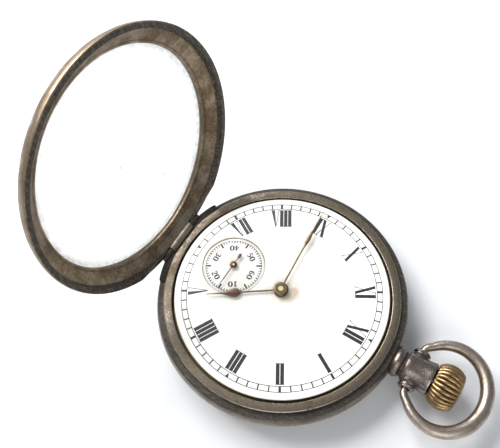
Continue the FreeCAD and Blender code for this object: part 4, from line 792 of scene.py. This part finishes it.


# ---- Plates and bridges ------------------------------------------------------------------
# Brass plates, frosted with fine grain and fire-gilt: the main plate under the dial and the
# bridges and cock over the wheels. The main plate's edge round the dial, down in the gap
# under the case, is painted dark in two rings as shade, with some dirt.
def gilt(name, gap_shade_and_dirt=False):
    """Frosted gilding, duller where fingers and oil have been; with its flag set, the edge round the dial
    is painted dark as shade, with dirt.
    """
    tree, shader = new_finish(name, 1.0, 0.36)
    place = node(tree, "TexCoord").outputs["Object"]
    grain = blotches(tree, place, 9000.0, 3.0)
    dull = blotches(tree, place, 300.0, 5.0)
    colour = blend_colours(tree, fade(tree, dull, 0.4, 0.7), (0.74, 0.55, 0.25), (0.50, 0.36, 0.17))
    if gap_shade_and_dirt:
        split = node(tree, "SeparateXYZ", {0: place})
        square = calc(tree, "ADD", *(calc(tree, "MULTIPLY", split.outputs[k], split.outputs[k])
                                     for k in range(2)))
        radius = calc(tree, "SQRT", square)
        # Painted shade in the gap round the dial, as two dark rings with olive between, with some dirt.
        edge = fade(tree, radius, 0.0212, 0.0215)
        waves = calc(tree, "SINE", calc(tree, "MULTIPLY", radius, 14000.0))
        line = fade(tree, waves, 0.2, 0.9, 0.35, 1.0)
        shade_and_dirt_colour = blend_colours(tree, line, (0.16, 0.125, 0.06), (0.035, 0.028, 0.016))
        colour = blend_colours(tree, edge, colour, shade_and_dirt_colour)
    tree.links.new(colour, shader.inputs["Base Color"])
    roughen(tree, shader, 0.30, 0.46, dull)
    relief(tree, shader, grain, 0.006, 0.8)
    return bpy.data.materials[name]


dress(["main_plate"], gilt("gilt_main_plate", True))
dress(["barrel_bridge", "train_bridge", "balance_cock", "pallet_bridge"], gilt("frosted_gilt"))


# ---- Wheels of the train -----------------------------------------------------------------
# Barrel and wheels stamped from rolled brass, crossed out, cut with teeth and polished; their
# pinions are steel. The escape wheel, the fork and the balance staff are hardened steel.
def turned_brass(name, colour, dull):
    """Polished wheel brass with fine grain and a few tarnished patches."""
    tree, shader = new_finish(name, 1.0, 0.25)
    place = node(tree, "TexCoord").outputs["Object"]
    patches = blotches(tree, place, 700.0, 5.0)
    tree.links.new(blend_colours(tree, fade(tree, patches, 0.45, 0.75), colour, dull),
                   shader.inputs["Base Color"])
    roughen(tree, shader, 0.18, 0.40, patches)
    relief(tree, shader, blotches(tree, place, 8000.0, 2.0), 0.003, 0.5)
    return bpy.data.materials[name]


wheel_brass = turned_brass("wheel_brass", (0.76, 0.56, 0.24), (0.50, 0.34, 0.14))
dress(["barrel", "barrel_cover", "centre_wheel", "third_wheel", "fourth_wheel", "minute_wheel",
       "hour_wheel", "balance_wheel", "balance_screws", "hairspring_stud"], wheel_brass)
dress(["winding_pinion", "clutch_wheel", "setting_wheel", "setting_lever", "yoke", "keyless_posts",
       "escape_wheel", "pallet_fork", "balance_staff", "barrel_arbor", "click",
       "regulator", "dial_screws"], bright_steel)


# ---- Winding wheels ----------------------------------------------------------------------
# Ratchet wheel and crown wheel of hardened steel on the barrel bridge, with rays ground round
# their faces that shimmer as the watch is turned.
def snailed_steel(name, centres):
    """Steel with curved rays round the nearest wheel's middle."""
    tree, shader = new_finish(name, 1.0, 0.28)
    place = node(tree, "TexCoord").outputs["Object"]
    rays = []
    for cx, cy in centres:
        aside = node(tree, "Mapping", {"Vector": place, "Location": (-cx * MM, -cy * MM, 0)}).outputs[0]
        rings = node(tree, "TexWave", {"Vector": aside, "Scale": 700.0, "Distortion": 3.0,
                                       "Detail": 1.0}, wave_type="RINGS", rings_direction="Z")
        rays.append(rings.outputs["Fac"])
    both = calc(tree, "MULTIPLY", calc(tree, "ADD", *rays), 0.5)
    tree.links.new(blend_colours(tree, both, (0.42, 0.42, 0.44), (0.66, 0.66, 0.66)),
                   shader.inputs["Base Color"])
    roughen(tree, shader, 0.18, 0.36, both)
    relief(tree, shader, both, 0.004, 0.6)
    return bpy.data.materials[name]


barrel_middle = (-7.275, 4.2)
crown_wheel_middle = (0.0, 11.688)
snailed = snailed_steel("snailed_steel", (barrel_middle, crown_wheel_middle))
dress(["ratchet_wheel", "crown_wheel"], snailed)


# ---- Springs and screws ------------------------------------------------------------------
# Tempered steel, polished and heated until it turns blue: the two springs of the keyless work
# and the click, the hairspring, the mainspring and the screws.
def blued_steel(name):
    """Heat-blued steel, violet in places."""
    tree, shader = new_finish(name, 1.0, 0.2)
    place = node(tree, "TexCoord").outputs["Object"]
    cloud = blotches(tree, place, 500.0, 4.0)
    tree.links.new(blend_colours(tree, fade(tree, cloud, 0.4, 0.7), (0.035, 0.06, 0.28),
                                 (0.10, 0.05, 0.22)), shader.inputs["Base Color"])
    roughen(tree, shader, 0.14, 0.30, cloud)
    relief(tree, shader, blotches(tree, place, 7000.0, 2.0), 0.002, 0.4)
    return bpy.data.materials[name]


dress(["mainspring", "hairspring", "click_spring", "yoke_spring", "bridge_screws", "case_screws",
       "click_post", "ratchet_screw", "crown_wheel_screw"], blued_steel("blued_steel"))


# ---- Jewels ------------------------------------------------------------------------------
# Pierced and cap stones of red corundum, rubbed into the plates round each pivot.
def red_stone(name):
    """Clear red stone, a little uneven in depth."""
    tree, shader = new_finish(name, 0.0, 0.08)
    shader.inputs["IOR"].default_value = 1.76
    shader.inputs["Coat Weight"].default_value = 0.6
    shader.inputs["Coat Roughness"].default_value = 0.03
    place = node(tree, "TexCoord").outputs["Object"]
    depth = blotches(tree, place, 1500.0, 3.0)
    tree.links.new(blend_colours(tree, fade(tree, depth, 0.35, 0.7), (0.42, 0.01, 0.045),
                                 (0.24, 0.003, 0.03)), shader.inputs["Base Color"])
    roughen(tree, shader, 0.05, 0.14, depth)
    return bpy.data.materials[name]


dress(["balance_jewels", "train_jewels"], red_stone("red_corundum"))


# ---- Dial --------------------------------------------------------------------------------
# White enamel fired on a slightly domed copper disc, with three copper feet underneath. A
# round hole at VI takes the small seconds dial. Rust from the hands has stained it brown.
DIAL_R = 21.85
DIAL_CROWN = ((21.75, 8.6), (11.0, 8.9), (1.5, 9.0))
DIAL_OUTLINE = [(1.35, 8.1), (DIAL_R - 0.15, 8.1), (DIAL_R, 8.25), (DIAL_R, 8.5), DIAL_CROWN[0],
                (*DIAL_CROWN[1], *DIAL_CROWN[2]), (1.35, 8.9)]
SECONDS_Y, SECONDS_R, SECONDS_TOP = -11.45, 6.5, 8.55
RUST = (0.42, 0.28, 0.14)
copper_tree, copper_shader = new_finish("dial_feet_copper", 1.0, 0.3)
copper_place = node(copper_tree, "TexCoord").outputs["Object"]
copper_tree.links.new(blend_colours(copper_tree, blotches(copper_tree, copper_place, 900.0),
                                    (0.70, 0.30, 0.16), (0.36, 0.15, 0.08)),
                      copper_shader.inputs["Base Color"])
dress(["dial_feet"], bpy.data.materials["dial_feet_copper"])


def near(tree, x, y, cx, cy):
    """Distance on the dial from a point, in mm."""
    dx, dy = calc(tree, "SUBTRACT", x, cx), calc(tree, "SUBTRACT", y, cy)
    return calc(tree, "SQRT", calc(tree, "ADD", calc(tree, "MULTIPLY", dx, dx),
                                   calc(tree, "MULTIPLY", dy, dy)))


def stained_enamel(name, stains, rings=(), specks=0.24):
    """White enamel with rust stains, (x, y, reach, strength) each, and brown seams,
    (x, y, radius, half width, strength) each."""
    tree, shader = new_finish(name, 0.0, 0.12)
    shader.inputs["Coat Weight"].default_value = 0.5
    shader.inputs["Coat Roughness"].default_value = 0.06
    place, _, x, y, _ = bench_place(tree)
    cloud = blotches(tree, place, 0.55, 7.0, 0.62)
    wide = blotches(tree, place, 0.12, 3.0)
    colour = blend_colours(tree, fade(tree, wide, 0.35, 0.7), (0.955, 0.95, 0.92), (0.935, 0.92, 0.87))
    for sx, sy, reach, strength in stains:
        faint = fade(tree, near(tree, x, y, sx, sy), reach, reach * 0.15, 0.0, strength)
        clouded = fade(tree, cloud, 0.22, 0.72, 0.15, 1.0)
        colour = blend_colours(tree, calc(tree, "MULTIPLY", faint, clouded), colour, RUST)
    for sx, sy, ring, half, strength in rings:
        off = calc(tree, "ABSOLUTE", calc(tree, "SUBTRACT", near(tree, x, y, sx, sy), ring))
        seam = fade(tree, off, half, half * 0.3, 0.0, strength)
        clouded = fade(tree, cloud, 0.25, 0.6, 0.55, 1.0)
        colour = blend_colours(tree, calc(tree, "MULTIPLY", seam, clouded), colour, (0.30, 0.20, 0.09))
    cells = node(tree, "TexVoronoi", {"Vector": place, "Scale": specks})
    size = fade(tree, blotches(tree, place, 0.7), 0.48, 0.75, 0.0, 0.055)
    speck = calc(tree, "LESS_THAN", cells.outputs["Distance"], size)
    colour = blend_colours(tree, calc(tree, "MULTIPLY", speck, 0.7), colour, (0.20, 0.15, 0.10))
    tree.links.new(colour, shader.inputs["Base Color"])
    roughen(tree, shader, 0.10, 0.30, cloud)
    relief(tree, shader, wide, 0.02, 0.3)
    return bpy.data.materials[name]


dial_enamel = stained_enamel(
    "dial_enamel",
    [(0.2, 0.4, 5.5, 0.42), (-0.9, 1.9, 3.2, 0.7), (0.0, -19.0, 6.0, 0.25), (2.9, -9.5, 5.5, 0.35),
     (5.0, -7.5, 4.0, 0.14), (-3.0, -16.0, 6.0, 0.12)],
    [(0, SECONDS_Y, SECONDS_R + 0.02, 0.16, 0.85), (0, 0, DIAL_R + 0.05, 0.35, 0.45)])
dial = as_object("enamel_dial", lathe(softened(drawn(DIAL_OUTLINE, 40), 0.05)))
hole = lathe([(0, 0), (SECONDS_R, 0), (SECONDS_R, 20), (0, 20)], 160)
hole.transform(Matrix.Translation((0, SECONDS_Y, 0)))
carve(dial, hole)
complete(dial, dial_enamel)
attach(dial, "case")
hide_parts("dial")


# ---- Seconds dial ------------------------------------------------------------------------
# Flat enamel disc let into the main dial from behind and soldered, a little lower than it.
# Rust has run into the seam round it.
SECONDS_OUTLINE = [(0.45, 8.1), (6.48, 8.1), (6.48, 8.5), (6.42, SECONDS_TOP), (0.5, SECONDS_TOP),
                   (0.45, 8.5)]
seconds_shape = lathe(softened(SECONDS_OUTLINE, 0.04), 160)
seconds_shape.transform(Matrix.Translation((0, SECONDS_Y, 0)))
seconds_dial = as_object("enamel_seconds_dial", seconds_shape)
complete(seconds_dial, stained_enamel(
    "seconds_enamel", [(0, SECONDS_Y, 3.4, 0.20), (2.5, -8.0, 3.5, 0.18)],
    [(0, SECONDS_Y, SECONDS_R, 0.14, 0.9), (0, SECONDS_Y, 6.2, 0.09, 0.5)]))
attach(seconds_dial, "case")
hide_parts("seconds_dial")


# ---- Printing on the dials ---------------------------------------------------------------
# Black enamel paint, printed from an engraved plate and fired: the minute track, the Roman
# hours with their hairlines, and the seconds track with its tens.
TRACK_INNER, TRACK_OUTER = 19.32, 20.42
HOUR_INNER, HOUR_OUTER = 14.95, 18.95
PRINT_THICK, PRINT_SUNK = 0.012, 0.03
BAR_HALF = 0.36
HAIR_HALF = 0.065


def serif(start, end, v):
    """Hairline across the foot (v = 0) or the head (v = 1) of an hour's letter."""
    return [(start, v, HAIR_HALF), (end, v, HAIR_HALF)]


STROKES = {
    "I": (0.86, [[(0, 0, BAR_HALF), (0, 1, BAR_HALF)], serif(-0.42, 0.42, 0), serif(-0.42, 0.42, 1)]),
    "V": (1.70, [[(0.02, 0.0, 0.08), (-0.58, 1, BAR_HALF)], [(0.08, 0.02, 0.06), (0.66, 1, 0.06)],
                 serif(-1.0, -0.12, 1), serif(0.42, 0.9, 1)]),
    "X": (1.95, [[(0.6, 0, 0.29), (-0.6, 1, 0.29)], [(-0.66, 0, 0.06), (0.66, 1, 0.06)],
                 serif(-1.0, -0.2, 1), serif(0.42, 0.9, 1), serif(0.2, 1.0, 0), serif(-0.9, -0.42, 0)])}
HOURS = {1: "I", 2: "II", 3: "III", 4: "IIII", 5: "V", 7: "VII", 8: "VIII", 9: "IX", 10: "X", 11: "XI",
         12: "XII"}
DIGITS = {
    "0": [[(0.31 + 0.22 * math.cos(math.tau * k / 16), 0.5 + 0.44 * math.sin(math.tau * k / 16),
            0.03 + 0.06 * abs(math.cos(math.tau * k / 16))) for k in range(17)]],
    "1": [[(0.31, 0.03, 0.075), (0.31, 0.95, 0.075)], [(0.12, 0.76, 0.03), (0.31, 0.93, 0.04)],
          [(0.12, 0.03, 0.03), (0.5, 0.03, 0.03)]],
    "2": [[(0.12, 0.70, 0.05), (0.14, 0.84, 0.06), (0.3, 0.94, 0.04), (0.46, 0.86, 0.07),
           (0.47, 0.68, 0.08), (0.34, 0.46, 0.05), (0.12, 0.1, 0.03)],
          [(0.08, 0.06, 0.06), (0.52, 0.06, 0.06)]],
    "3": [[(0.12, 0.76, 0.05), (0.16, 0.88, 0.05), (0.3, 0.95, 0.04), (0.45, 0.84, 0.07),
           (0.43, 0.66, 0.07), (0.24, 0.53, 0.03), (0.46, 0.42, 0.07), (0.47, 0.2, 0.08),
           (0.3, 0.05, 0.04), (0.13, 0.1, 0.05), (0.1, 0.24, 0.05)]],
    "4": [[(0.4, 0.95, 0.03), (0.04, 0.3, 0.03)], [(0.04, 0.29, 0.035), (0.58, 0.29, 0.035)],
          [(0.4, 0.96, 0.07), (0.4, 0.03, 0.07)]],
    "5": [[(0.14, 0.92, 0.05), (0.5, 0.92, 0.05)], [(0.14, 0.92, 0.03), (0.12, 0.54, 0.03)],
          [(0.12, 0.54, 0.03), (0.3, 0.6, 0.05), (0.48, 0.46, 0.08), (0.47, 0.22, 0.08),
           (0.3, 0.05, 0.04), (0.12, 0.1, 0.05)]],
    "6": [[(0.48, 0.84, 0.05), (0.36, 0.94, 0.04), (0.18, 0.82, 0.06), (0.09, 0.5, 0.08),
           (0.14, 0.16, 0.07), (0.31, 0.04, 0.04), (0.48, 0.14, 0.07), (0.48, 0.4, 0.07),
           (0.31, 0.54, 0.04), (0.14, 0.42, 0.04)]]}
DIGIT_HIGH, DIGIT_WIDE, DIGIT_R = 1.25, 1.62, 4.15
DIGIT_WEIGHT, DIGIT_PITCH = 1.6, 0.62
SECONDS_TRACK_R, SECONDS_TRACK_INNER, LONG_BAR_INNER = 5.86, 5.38, 4.75
crown_x, crown_z, crown_r = circle_through(*DIAL_CROWN)


def main_height(x, y):
    """Height of the domed enamel."""
    out = math.hypot(x, y)
    return crown_z + math.sqrt(crown_r ** 2 - (out - crown_x) ** 2)


def seconds_height(x, y):
    """Height of the flat seconds dial."""
    return SECONDS_TOP


def stroke(shape, points, height):
    """One thin raised stroke of paint along (x, y, half width) points on the dial."""
    rows = []
    for index, (x, y, half) in enumerate(points):
        ahead, behind = points[min(index + 1, len(points) - 1)], points[max(index - 1, 0)]
        run = Vector((ahead[0] - behind[0], ahead[1] - behind[1])).normalized()
        row = []
        for side in (-half, half):
            px, py = x - run.y * side, y + run.x * side
            low = height(px, py)
            row += [shape.verts.new((px, py, z)) for z in (low - PRINT_SUNK, low + PRINT_THICK)]
        rows.append([row[0], row[2], row[3], row[1]])
    skin(shape, rows)


def clockwise(degrees):
    """Outward and clockwise directions at an angle from XII."""
    angle = math.radians(degrees)
    return Vector((math.sin(angle), math.cos(angle))), Vector((math.cos(angle), -math.sin(angle)))


def circle_stroke(shape, radius, half, height, middle=(0, 0), sides=240):
    """Printed ring, as two halves that meet."""
    for first in (0, sides // 2):
        arc = [(middle[0] + radius * math.cos(math.tau * k / sides),
                middle[1] + radius * math.sin(math.tau * k / sides), half)
               for k in range(first, first + sides // 2 + 1)]
        stroke(shape, arc, height)


def ray(shape, degrees, near_r, far_r, near_half, far_half, height, middle=(0, 0)):
    """Printed line pointing outward."""
    out = clockwise(degrees)[0]
    stroke(shape, [(middle[0] + out.x * r, middle[1] + out.y * r, half)
                   for r, half in ((near_r, near_half), (far_r, far_half))], height)


def numeral(shape, text, degrees):
    """Roman hour, its top outward."""
    out, across = clockwise(degrees)
    aside = -sum(STROKES[letter][0] for letter in text) / 2
    for letter in text:
        width, lines = STROKES[letter]
        aside += width / 2
        for line in lines:
            points = []
            for u, v, half in line:
                spot = across * (aside + u) + out * (HOUR_INNER + (HOUR_OUTER - HOUR_INNER) * v)
                points.append((spot.x, spot.y, half))
            stroke(shape, points, main_height)
        aside += width / 2


def tens(shape, text, degrees, top_out):
    """Number on the seconds dial, its top outward or inward."""
    out, across = clockwise(degrees)
    middle = Vector((0, SECONDS_Y)) + out * DIGIT_R
    up, right = (out, across) if top_out else (-out, -across)
    for index, digit in enumerate(text):
        for line in DIGITS[digit]:
            points = []
            for u, v, half in line:
                aside = (u - DIGIT_PITCH + index * DIGIT_PITCH) * DIGIT_WIDE
                spot = middle + right * aside + up * ((v - 0.5) * DIGIT_HIGH)
                points.append((spot.x, spot.y, half * DIGIT_HIGH * DIGIT_WEIGHT))
            stroke(shape, points, seconds_height)


hours_print = bmesh.new()
for ring in (TRACK_INNER, TRACK_OUTER):
    circle_stroke(hours_print, ring, 0.07, main_height)
for minute in range(60):
    if minute % 15 == 0:
        ray(hours_print, minute * 6, TRACK_INNER + 0.2, TRACK_OUTER - 0.02, 0.03, 0.36, main_height)
    else:
        half = 0.24 if minute % 5 == 0 else 0.13
        ray(hours_print, minute * 6, TRACK_INNER + 0.03, TRACK_OUTER - 0.03, half, half, main_height)
for hour, text in HOURS.items():
    numeral(hours_print, text, hour * 30)
seconds_middle = (0, SECONDS_Y)
seconds_print = bmesh.new()
circle_stroke(seconds_print, SECONDS_TRACK_R, 0.055, seconds_height, seconds_middle, 160)
for second in range(60):
    long_bar = second % 10 == 5
    half = 0.18 if long_bar else 0.14 if second % 5 == 0 else 0.09
    inner = LONG_BAR_INNER if long_bar else SECONDS_TRACK_INNER
    ray(seconds_print, second * 6, inner, SECONDS_TRACK_R, half, half, seconds_height, seconds_middle)
for text, top_out in (("60", True), ("10", True), ("20", False), ("30", False), ("40", False),
                      ("50", True)):
    tens(seconds_print, text, int(text) * 6, top_out)


def fired_black(name):
    """Blue-black fired paint, thin in places so that the white shows through."""
    tree, shader = new_finish(name, 0.0, 0.25)
    place = bench_place(tree)[0]
    thin = blotches(tree, place, 5.0, 3.0)
    tree.links.new(blend_colours(tree, fade(tree, thin, 0.5, 0.8), (0.022, 0.024, 0.030),
                                 (0.10, 0.10, 0.11)), shader.inputs["Base Color"])
    roughen(tree, shader, 0.2, 0.4, thin)
    return bpy.data.materials[name]


print_black = fired_black("fired_black")
for name, shape in (("hours_print", hours_print), ("seconds_print", seconds_print)):
    bmesh.ops.recalc_face_normals(shape, faces=shape.faces)
    printed = complete(as_object(name, shape), print_black)
    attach(printed, "case")


# ---- Hands -------------------------------------------------------------------------------
# Hour and minute hands stamped from thin brass, gilt, with a boss pressed on each pipe; the
# hour hand's pear holds a dark oxidised middle. The small seconds hand is browned steel.
HOUR_HAND = [(0.19, 0.0), (0.17, 7.6), (0.22, 8.05), (0.62, 8.45), (0.93, 9.0), (0.96, 9.5),
             (0.80, 10.2), (0.50, 11.0), (0.28, 11.7), (0.17, 12.4), (0.03, 15.2)]
MINUTE_HAND = [(0.18, 0.0), (0.17, 9.2), (0.26, 10.8), (0.45, 12.3), (0.41, 13.3), (0.24, 15.0),
               (0.15, 17.0), (0.03, 19.9)]
SECONDS_HAND = [(0.02, -3.0), (0.3, -2.7), (0.36, -2.35), (0.2, -1.75), (0.1, -1.4), (0.1, 1.2),
                (0.12, 3.0), (0.02, 6.0)]
PEAR_MIDDLE = [(0.02, 8.45), (0.42, 8.7), (0.60, 9.15), (0.58, 9.65), (0.38, 10.3), (0.02, 11.2)]
HOUR_DEG, MINUTE_DEG, SECONDS_DEG = 146.0, 266.5, 91.0


def filled_in(points, steps=6):
    """Smooth curve through (half width, distance) points."""
    smooth = []
    for k in range(len(points) - 1):
        before, first = Vector(points[max(k - 1, 0)]), Vector(points[k])
        second, after = Vector(points[k + 1]), Vector(points[min(k + 2, len(points) - 1)])
        for step in range(steps):
            t = step / steps
            smooth.append(0.5 * (2 * first + (second - before) * t
                                 + (2 * before - 5 * first + 4 * second - after) * t ** 2
                                 + (3 * first - before - 3 * second + after) * t ** 3))
    smooth.append(Vector(points[-1]))
    return [(max(half, 0.012), far) for half, far in smooth]


def blade(points, low, high, crown=0.35):
    """Thin hand with a rounded top along +Y."""
    shape = bmesh.new()
    rows = []
    for half, far in points:
        thick = high - low
        rows.append([shape.verts.new((u * half, far, low + v * thick)) for u, v in (
            (-1, 0), (1, 0), (1, 1 - crown), (0.72, 0.93), (0, 1), (-0.72, 0.93), (-1, 1 - crown))])
    skin(shape, rows)
    bmesh.ops.recalc_face_normals(shape, faces=shape.faces)
    return shape


def boss(outline, softness=0.05):
    """Small turned boss on the hand's hole."""
    return lathe(softened(outline, softness), 48)


def pointing(degrees, middle=(0, 0)):
    """Place of a hand that points clockwise from XII."""
    return Matrix.Translation((*middle, 0)) @ Matrix.Rotation(-math.radians(degrees), 4, "Z")


def hand_metal(name, colour, worn, metallic=1.0, rough=(0.25, 0.5), dark_ring=None):
    """Thin plating on a hand, worn and stained, darker in a ring round its middle."""
    tree, shader = new_finish(name, metallic, rough[0])
    place, radius = bench_place(tree)[:2]
    cloud = blotches(tree, place, 2.6, 6.0, 0.7)
    mixed = blend_colours(tree, fade(tree, cloud, 0.42, 0.66), colour, worn)
    if dark_ring:
        off = calc(tree, "ABSOLUTE", calc(tree, "SUBTRACT", radius, dark_ring[0]))
        ring = fade(tree, off, dark_ring[1], dark_ring[1] * 0.5)
        mixed = blend_colours(tree, ring, mixed, (0.045, 0.03, 0.015))
    tree.links.new(mixed, shader.inputs["Base Color"])
    roughen(tree, shader, rough[0], rough[1], cloud)
    relief(tree, shader, cloud, 0.02, 0.5)
    return bpy.data.materials[name]


gilt_hand = hand_metal("gilt_hand", (0.20, 0.155, 0.092), (0.10, 0.077, 0.05), dark_ring=(0.80, 0.17))
hour_hand = as_object("hour_hand_gilt", blade(filled_in(HOUR_HAND), 9.45, 9.65),
                      boss([(1.15, 9.45), (1.55, 9.45), (1.55, 9.68), (1.15, 9.72)]))
pear = as_object("hour_hand_pear", blade(filled_in(PEAR_MIDDLE), 9.6, 9.72, 0.5))
minute_hand = as_object("minute_hand_gilt", blade(filled_in(MINUTE_HAND), 10.0, 10.16),
                        boss([(0.8, 9.95), (1.45, 9.95), (1.5, 10.1), (1.3, 10.22), (0.8, 10.24)]))
seconds_hand = as_object("seconds_hand_brown", blade(filled_in(SECONDS_HAND), 9.1, 9.22),
                         boss([(0.2, 9.06), (0.78, 9.06), (0.78, 9.26), (0.5, 9.34), (0.2, 9.34)]))
pear_dark = hand_metal("oxidised_pear", (0.14, 0.07, 0.075), (0.07, 0.04, 0.035), 0.7, (0.3, 0.5))
browned = hand_metal("browned_steel", (0.16, 0.095, 0.06), (0.07, 0.045, 0.03), 0.8, (0.3, 0.5),
                     dark_ring=(0.42, 0.1))
for piece, finish, degrees, middle_xy, body, slot_name in (
        (hour_hand, gilt_hand, HOUR_DEG, (0, 0), "hour", "gold_hands"),
        (pear, pear_dark, HOUR_DEG, (0, 0), "hour", "gold_hands"),
        (minute_hand, gilt_hand, MINUTE_DEG, (0, 0), "centre", "gold_hands"),
        (seconds_hand, browned, SECONDS_DEG, (0, SECONDS_Y), "fourth", "brown_steel")):
    complete(piece, finish, pointing(degrees, middle_xy), 45)
    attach(piece, body)
dress(["cannon_pinion"], worn_steel("browned_arbor", (0.19, 0.15, 0.10), (0.07, 0.05, 0.03), 0.32))
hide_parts("hour_hand")
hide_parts("minute_hand")
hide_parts("seconds_hand")


# ---- Table, light and camera -------------------------------------------------------------
# The watch lies on its back on plain white board, by a big window up and to one side, with a
# white wall all round.
FLOOR_HALF = 1.5


def painted_board(name):
    """Plain white board with the faintest tooth."""
    tree, shader = new_finish(name, 0.0, 0.6)
    place = node(tree, "TexCoord").outputs["Object"]
    tooth = blotches(tree, place, 60.0, 4.0)
    tree.links.new(blend_colours(tree, tooth, (0.69, 0.71, 0.74), (0.71, 0.725, 0.75)),
                   shader.inputs["Base Color"])
    roughen(tree, shader, 0.55, 0.7, tooth)
    return bpy.data.materials[name]


board_shape = bmesh.new()
board_shape.faces.new([board_shape.verts.new((x * FLOOR_HALF, y * FLOOR_HALF, 0))
                       for x, y in ((-1, -1), (1, -1), (1, 1), (-1, 1))])
board_mesh = bpy.data.meshes.new("board")
board_shape.to_mesh(board_mesh)
board_shape.free()
board = bpy.data.objects.new("board", board_mesh)
board.data.materials.append(painted_board("white_board"))
bpy.context.scene.collection.objects.link(board)
board.location.z = -0.0002

room = bpy.data.worlds.new("white_room")
bpy.context.scene.world = room
room.use_nodes = True
room.node_tree.nodes["Background"].inputs["Color"].default_value = (0.90, 0.95, 1.0, 1)
room.node_tree.nodes["Background"].inputs["Strength"].default_value = 0.36


def soft_light(name, place, aim, size, power, colour):
    """Large soft panel."""
    lamp = bpy.data.lights.new(name, "AREA")
    lamp.shape = "RECTANGLE"
    lamp.size, lamp.size_y = size
    lamp.energy = power
    lamp.color = colour
    panel = bpy.data.objects.new(name, lamp)
    panel.location = place
    panel.rotation_mode = "QUATERNION"
    panel.rotation_quaternion = (Vector(aim) - Vector(place)).to_track_quat("-Z", "Y")
    bpy.context.scene.collection.objects.link(panel)
    return panel


soft_light("window", (-0.09, -0.36, 0.38), (0, 0.0, 0), (0.4, 0.32), 5.2, (1.0, 0.99, 0.97))
soft_light("wall_bounce", (0.45, 0.25, 0.35), (0, 0, 0), (0.5, 0.5), 2.0, (1.0, 0.97, 0.94))

RIGHT = Vector((-0.52895, 0.84634, -0.06262))
DOWN = Vector((0.75867, 0.43851, -0.4818))
AHEAD = Vector((-0.38031, -0.30235, -0.87404))
EYE_PLACE = (0.0420, 0.02769, 0.12845)
eye = bpy.data.cameras.new("eye")
eye.sensor_width = 36.0
eye.lens = 45.75
eye.clip_start = 0.005
viewer = bpy.data.objects.new("eye", eye)
facing = Matrix((RIGHT, -DOWN, -AHEAD)).transposed().to_4x4()
viewer.matrix_world = Matrix.Translation(EYE_PLACE) @ facing
bpy.context.scene.collection.objects.link(viewer)
bpy.context.scene.camera = viewer
bpy.context.scene.view_settings.view_transform = "Standard"
